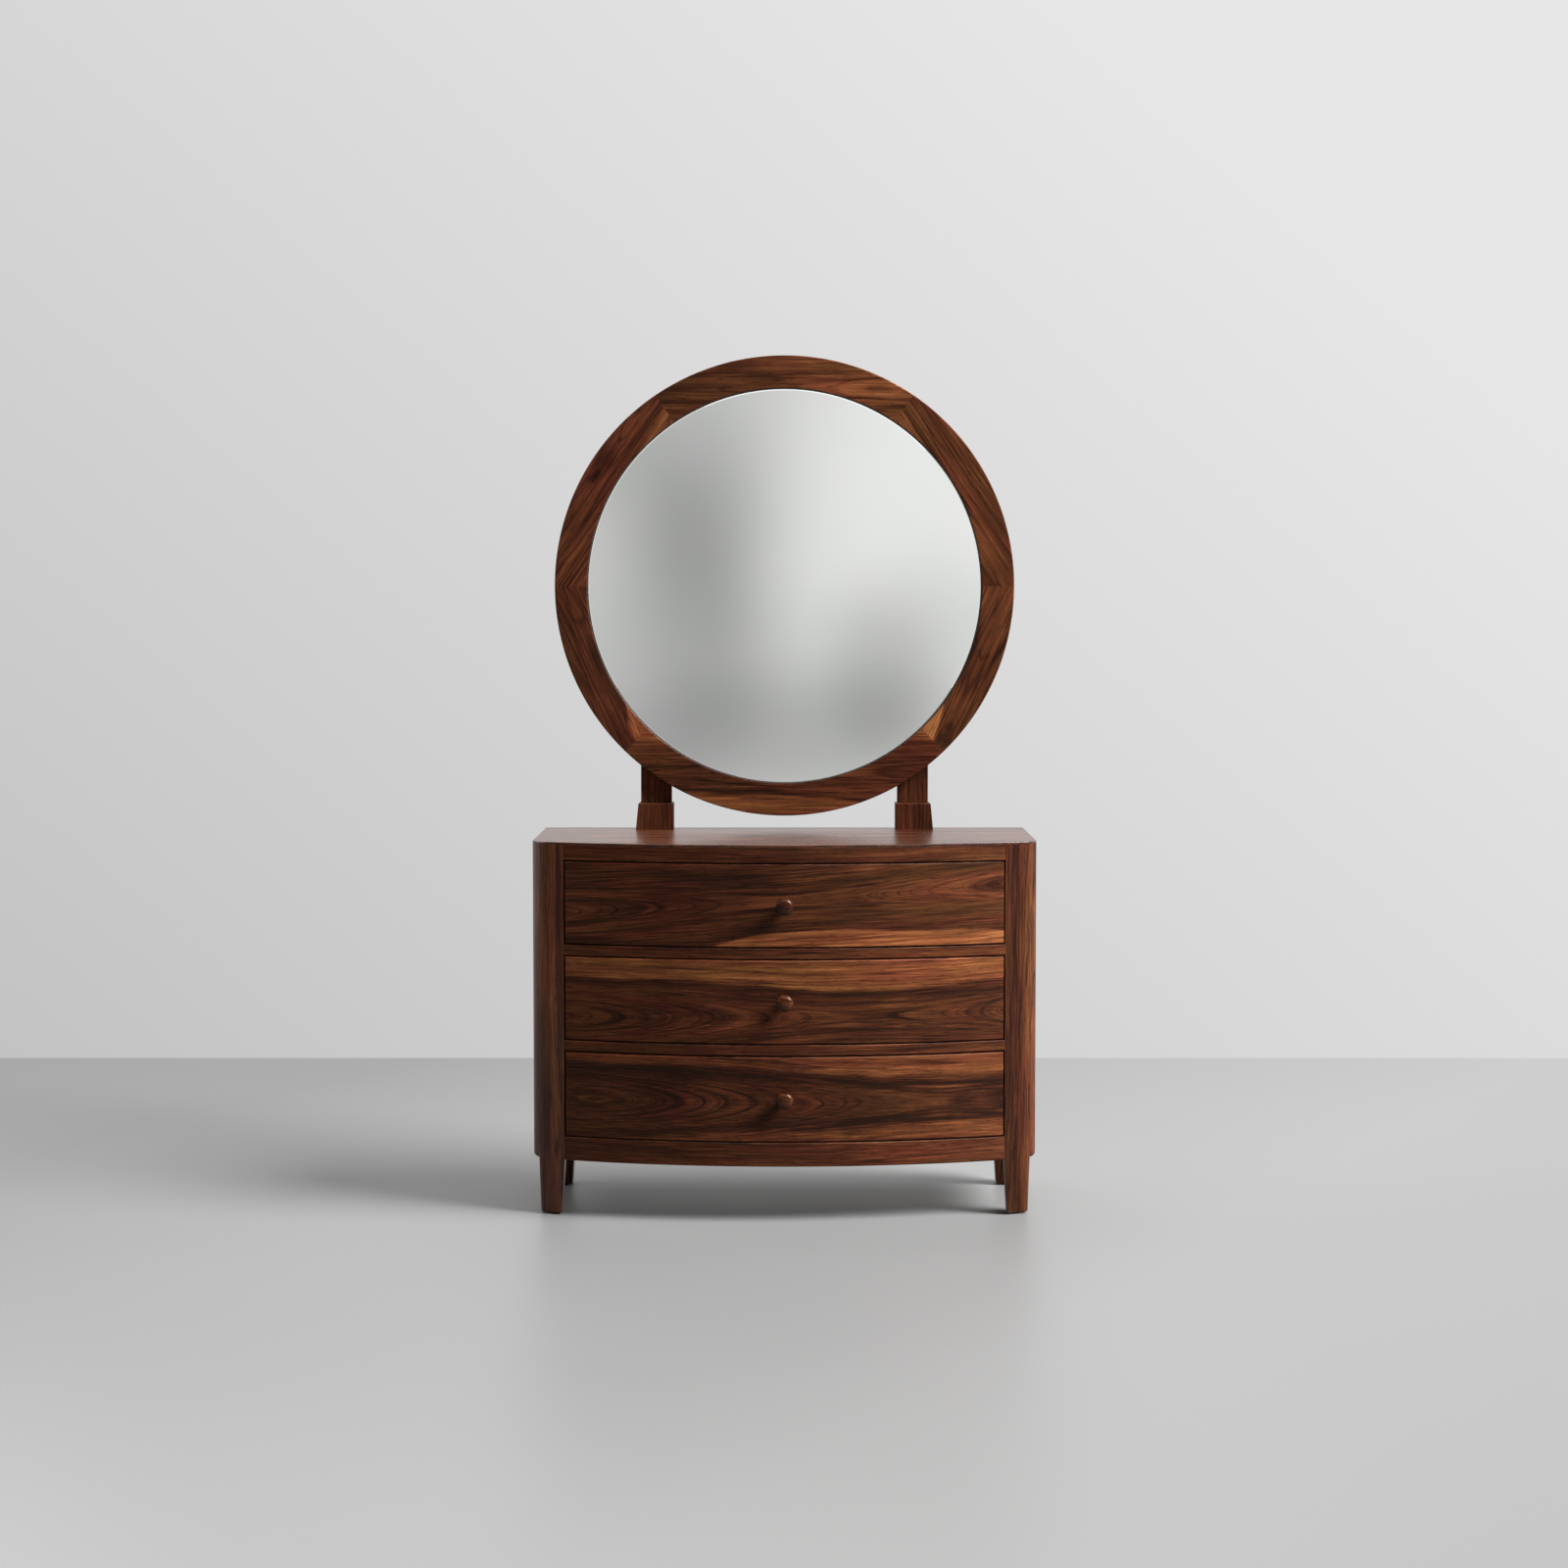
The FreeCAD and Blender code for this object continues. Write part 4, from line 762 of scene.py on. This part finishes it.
# %% Plain wood and plywood
def plain_wood(name, turn, pale, dark, rough):
    """Planed wood with straight grain 6 mm wide, drawn coarser than the real 2 mm."""
    material, tree = new_material(name)
    place = add(tree, "TexCoord").outputs["Object"]
    log = add(tree, "Mapping", {"Vector": place, "Rotation": [math.radians(t) for t in turn]},
              vector_type="TEXTURE").outputs[0]
    grain = add(tree, "Math", {0: stretched(tree, log, (3.0, 160.0, 160.0), 3.0),
                               1: stretched(tree, log, (1.5, 18.0, 18.0))})
    light = add(tree, "Math", {0: grain.outputs[0], 1: 0.5})
    colour = add(tree, "ValToRGB", {0: light.outputs[0]})
    set_ramp(colour.color_ramp, ((0.2, dark), (0.8, pale)))
    gloss = add(tree, "MapRange", {"Value": grain.outputs[0], "From Min": -0.5, "From Max": 0.5,
                                   "To Min": rough + 0.1, "To Max": rough - 0.1})
    bump = add(tree, "Bump", {"Height": grain.outputs[0], "Strength": 0.2, "Distance": 0.0006})
    wood = add(tree, "BsdfPrincipled", {"Base Color": colour.outputs["Color"],
                                        "Roughness": gloss.outputs["Result"],
                                        "Normal": bump.outputs["Normal"]})
    add(tree, "OutputMaterial", {"Surface": wood.outputs[0]})
    return material


MANGO = ("#b98e5d", "#94683f", 0.55)    # pale and dark grain, and roughness
BIRCH = ("#d3b48a", "#bb9868", 0.6)
drawers = ("bottom_drawer", "middle_drawer", "top_drawer")
dress(plain_wood("planed_mango_lengthwise", (0.0, 0.0, 90.0), *MANGO),
      "drawer_runners", "drawer_guides", "drawer_stops", "top_kickers",
      *[d + side for d in drawers for side in ("_side_left", "_side_right")])
dress(plain_wood("planed_mango_crosswise", (0.0, 0.0, 0.0), *MANGO),
      "mitre_splines", *[d + "_back" for d in drawers])
dress(plain_wood("birch_plywood_upright", (0.0, -90.0, 0.0), *BIRCH),
      "back_panel", "mirror_back_board")
dress(plain_wood("birch_plywood_flat", (0.0, 0.0, 0.0), *BIRCH),
      *[d + "_bottom" for d in drawers])

# %% [markdown]
# Screws, clips and knob bolts are zinc-plated steel: a soft, slightly cloudy grey metal,
# neither polished nor brushed, whose plating blooms in specks of about 6 mm. Such small
# parts could do with one grey, but the bloom is what tells zinc from chrome.

# %% Zinc-plated steel
zinc, tree = new_material("zinc_plated_steel")
place = add(tree, "TexCoord").outputs["Object"]
bloom = add(tree, "TexNoise", {"Vector": place, "Scale": 160.0, "Detail": 2.0})
tint = add(tree, "ValToRGB", {0: bloom.outputs["Fac"]})
set_ramp(tint.color_ramp, ((0.3, "#a9acae"), (0.7, "#c6c8c9")))
cloudy = add(tree, "MapRange", {"Value": bloom.outputs["Fac"], "To Min": 0.28, "To Max": 0.45})
plate = add(tree, "BsdfPrincipled", {"Base Color": tint.outputs["Color"], "Metallic": 1.0,
                                     "Roughness": cloudy.outputs["Result"]})
add(tree, "OutputMaterial", {"Surface": plate.outputs[0]})
dress(zinc, "top_screws", "mirror_clips", "mirror_clip_screws", "mirror_frame_screws",
      "mirror_post_screws", *[d + "_knob_bolt" for d in drawers])

# %% [markdown]
# The glides under the feet are moulded nylon, dyed brown to disappear under the wood: a
# dull plastic with the fine grit of a spark-eroded mould, here 2 mm where it is really 0.1.

# %% Nylon
nylon, tree = new_material("moulded_brown_nylon")
place = add(tree, "TexCoord").outputs["Object"]
grit = add(tree, "TexNoise", {"Vector": place, "Scale": 500.0})
tint = add(tree, "ValToRGB", {0: grit.outputs["Fac"]})
set_ramp(tint.color_ramp, ((0.3, "#241d19"), (0.7, "#332a24")))
bump = add(tree, "Bump", {"Height": grit.outputs["Fac"], "Strength": 0.2, "Distance": 0.0003})
glide = add(tree, "BsdfPrincipled", {"Base Color": tint.outputs["Color"], "Roughness": 0.5,
                                     "Normal": bump.outputs["Normal"]})
add(tree, "OutputMaterial", {"Surface": glide.outputs[0]})
dress(nylon, "foot_glides")

# %% [markdown]
# Each knob is turned on a lathe from one piece of rosewood: a narrow neck that swells into
# a mushroom head. Spinning a profile would do, but it leaves a pole and a seam to close.
# A filled disc that is pushed out and scaled again and again, a ring at a time, gives the
# same turned shape as one closed skin.

# %% Turn a knob
# Radius and distance from the drawer front, in millimetres, from the foot to the crown.
TURNED = ((9.0, 0.0), (8.8, 1.5), (7.9, 3.5), (7.5, 6.0), (7.7, 8.5), (9.2, 11.0),
          (12.2, 13.2), (15.4, 14.8), (17.0, 16.2), (17.5, 17.8), (17.3, 19.8), (16.4, 22.2),
          (14.6, 24.5), (12.0, 26.1), (8.6, 27.2), (4.6, 27.8), (1.6, 27.95))
low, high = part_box("bottom_drawer_knob")
seat, height = high.y, (low.z + high.z) / 2
bpy.ops.object.select_all(action="DESELECT")
bpy.ops.mesh.primitive_circle_add(vertices=64, radius=TURNED[0][0] / 1000, fill_type="NGON",
                                  location=(0.0, seat, height),
                                  rotation=(math.radians(90.0), 0.0, 0.0))
knob = bpy.context.object
bpy.ops.object.transform_apply(location=True, rotation=True, scale=True)
bpy.ops.object.mode_set(mode="EDIT")
bpy.ops.mesh.select_all(action="SELECT")
for (r0, h0), (r1, h1) in zip(TURNED, TURNED[1:]):
    bpy.ops.mesh.extrude_region_move(
        TRANSFORM_OT_translate={"value": (0.0, (h0 - h1) / 1000, 0.0)})
    bpy.ops.transform.resize(value=(r1 / r0, 1.0, r1 / r0),
                             center_override=(0.0, seat - h1 / 1000, height))
bpy.ops.mesh.select_all(action="SELECT")
bpy.ops.mesh.remove_doubles(threshold=0.00001)
bpy.ops.mesh.normals_make_consistent(inside=False)
bpy.ops.object.mode_set(mode="OBJECT")
bpy.ops.object.shade_smooth_by_angle(angle=math.radians(40.0))
print("knob turned,", len(knob.data.polygons), "faces")

# %% [markdown]
# One knob is made and the others are copies, each with a mesh of its own, raised to its
# drawer. A knob's grain runs across it, and its rounded head cuts through many rings, which
# gives small swirls. Each knob rides on its drawer and stands for the plain solid there.

# %% A knob for each drawer
KNOB_PITH_DOWN = 0.03    # m from the middle of a knob down to the pith of its log
for drawer in drawers:
    low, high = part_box(drawer + "_knob")
    middle = (low.z + high.z) / 2
    bpy.ops.object.select_all(action="DESELECT")
    knob.select_set(True)
    bpy.context.view_layer.objects.active = knob
    piece = knob
    if drawer != drawers[0]:
        bpy.ops.object.duplicate(linked=False)
        piece = bpy.context.object
        piece.data.materials.clear()
        bpy.ops.transform.translate(value=(0.0, 0.0, middle - height))
        bpy.ops.object.transform_apply(location=True, rotation=True, scale=True)
    piece.name = drawer + "_turned_knob"
    wood = rosewood("rosewood_knob_" + drawer, (0.01, -0.24, middle - KNOB_PITH_DOWN),
                    (0.0, 12.0, 4.0), 0.34, shine=0.2, rough=0.22)
    piece.data.materials.append(wood)
    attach(piece, drawer)
    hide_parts(drawer + "_knob")
    print(piece.name, "at", round(middle, 4), "m")
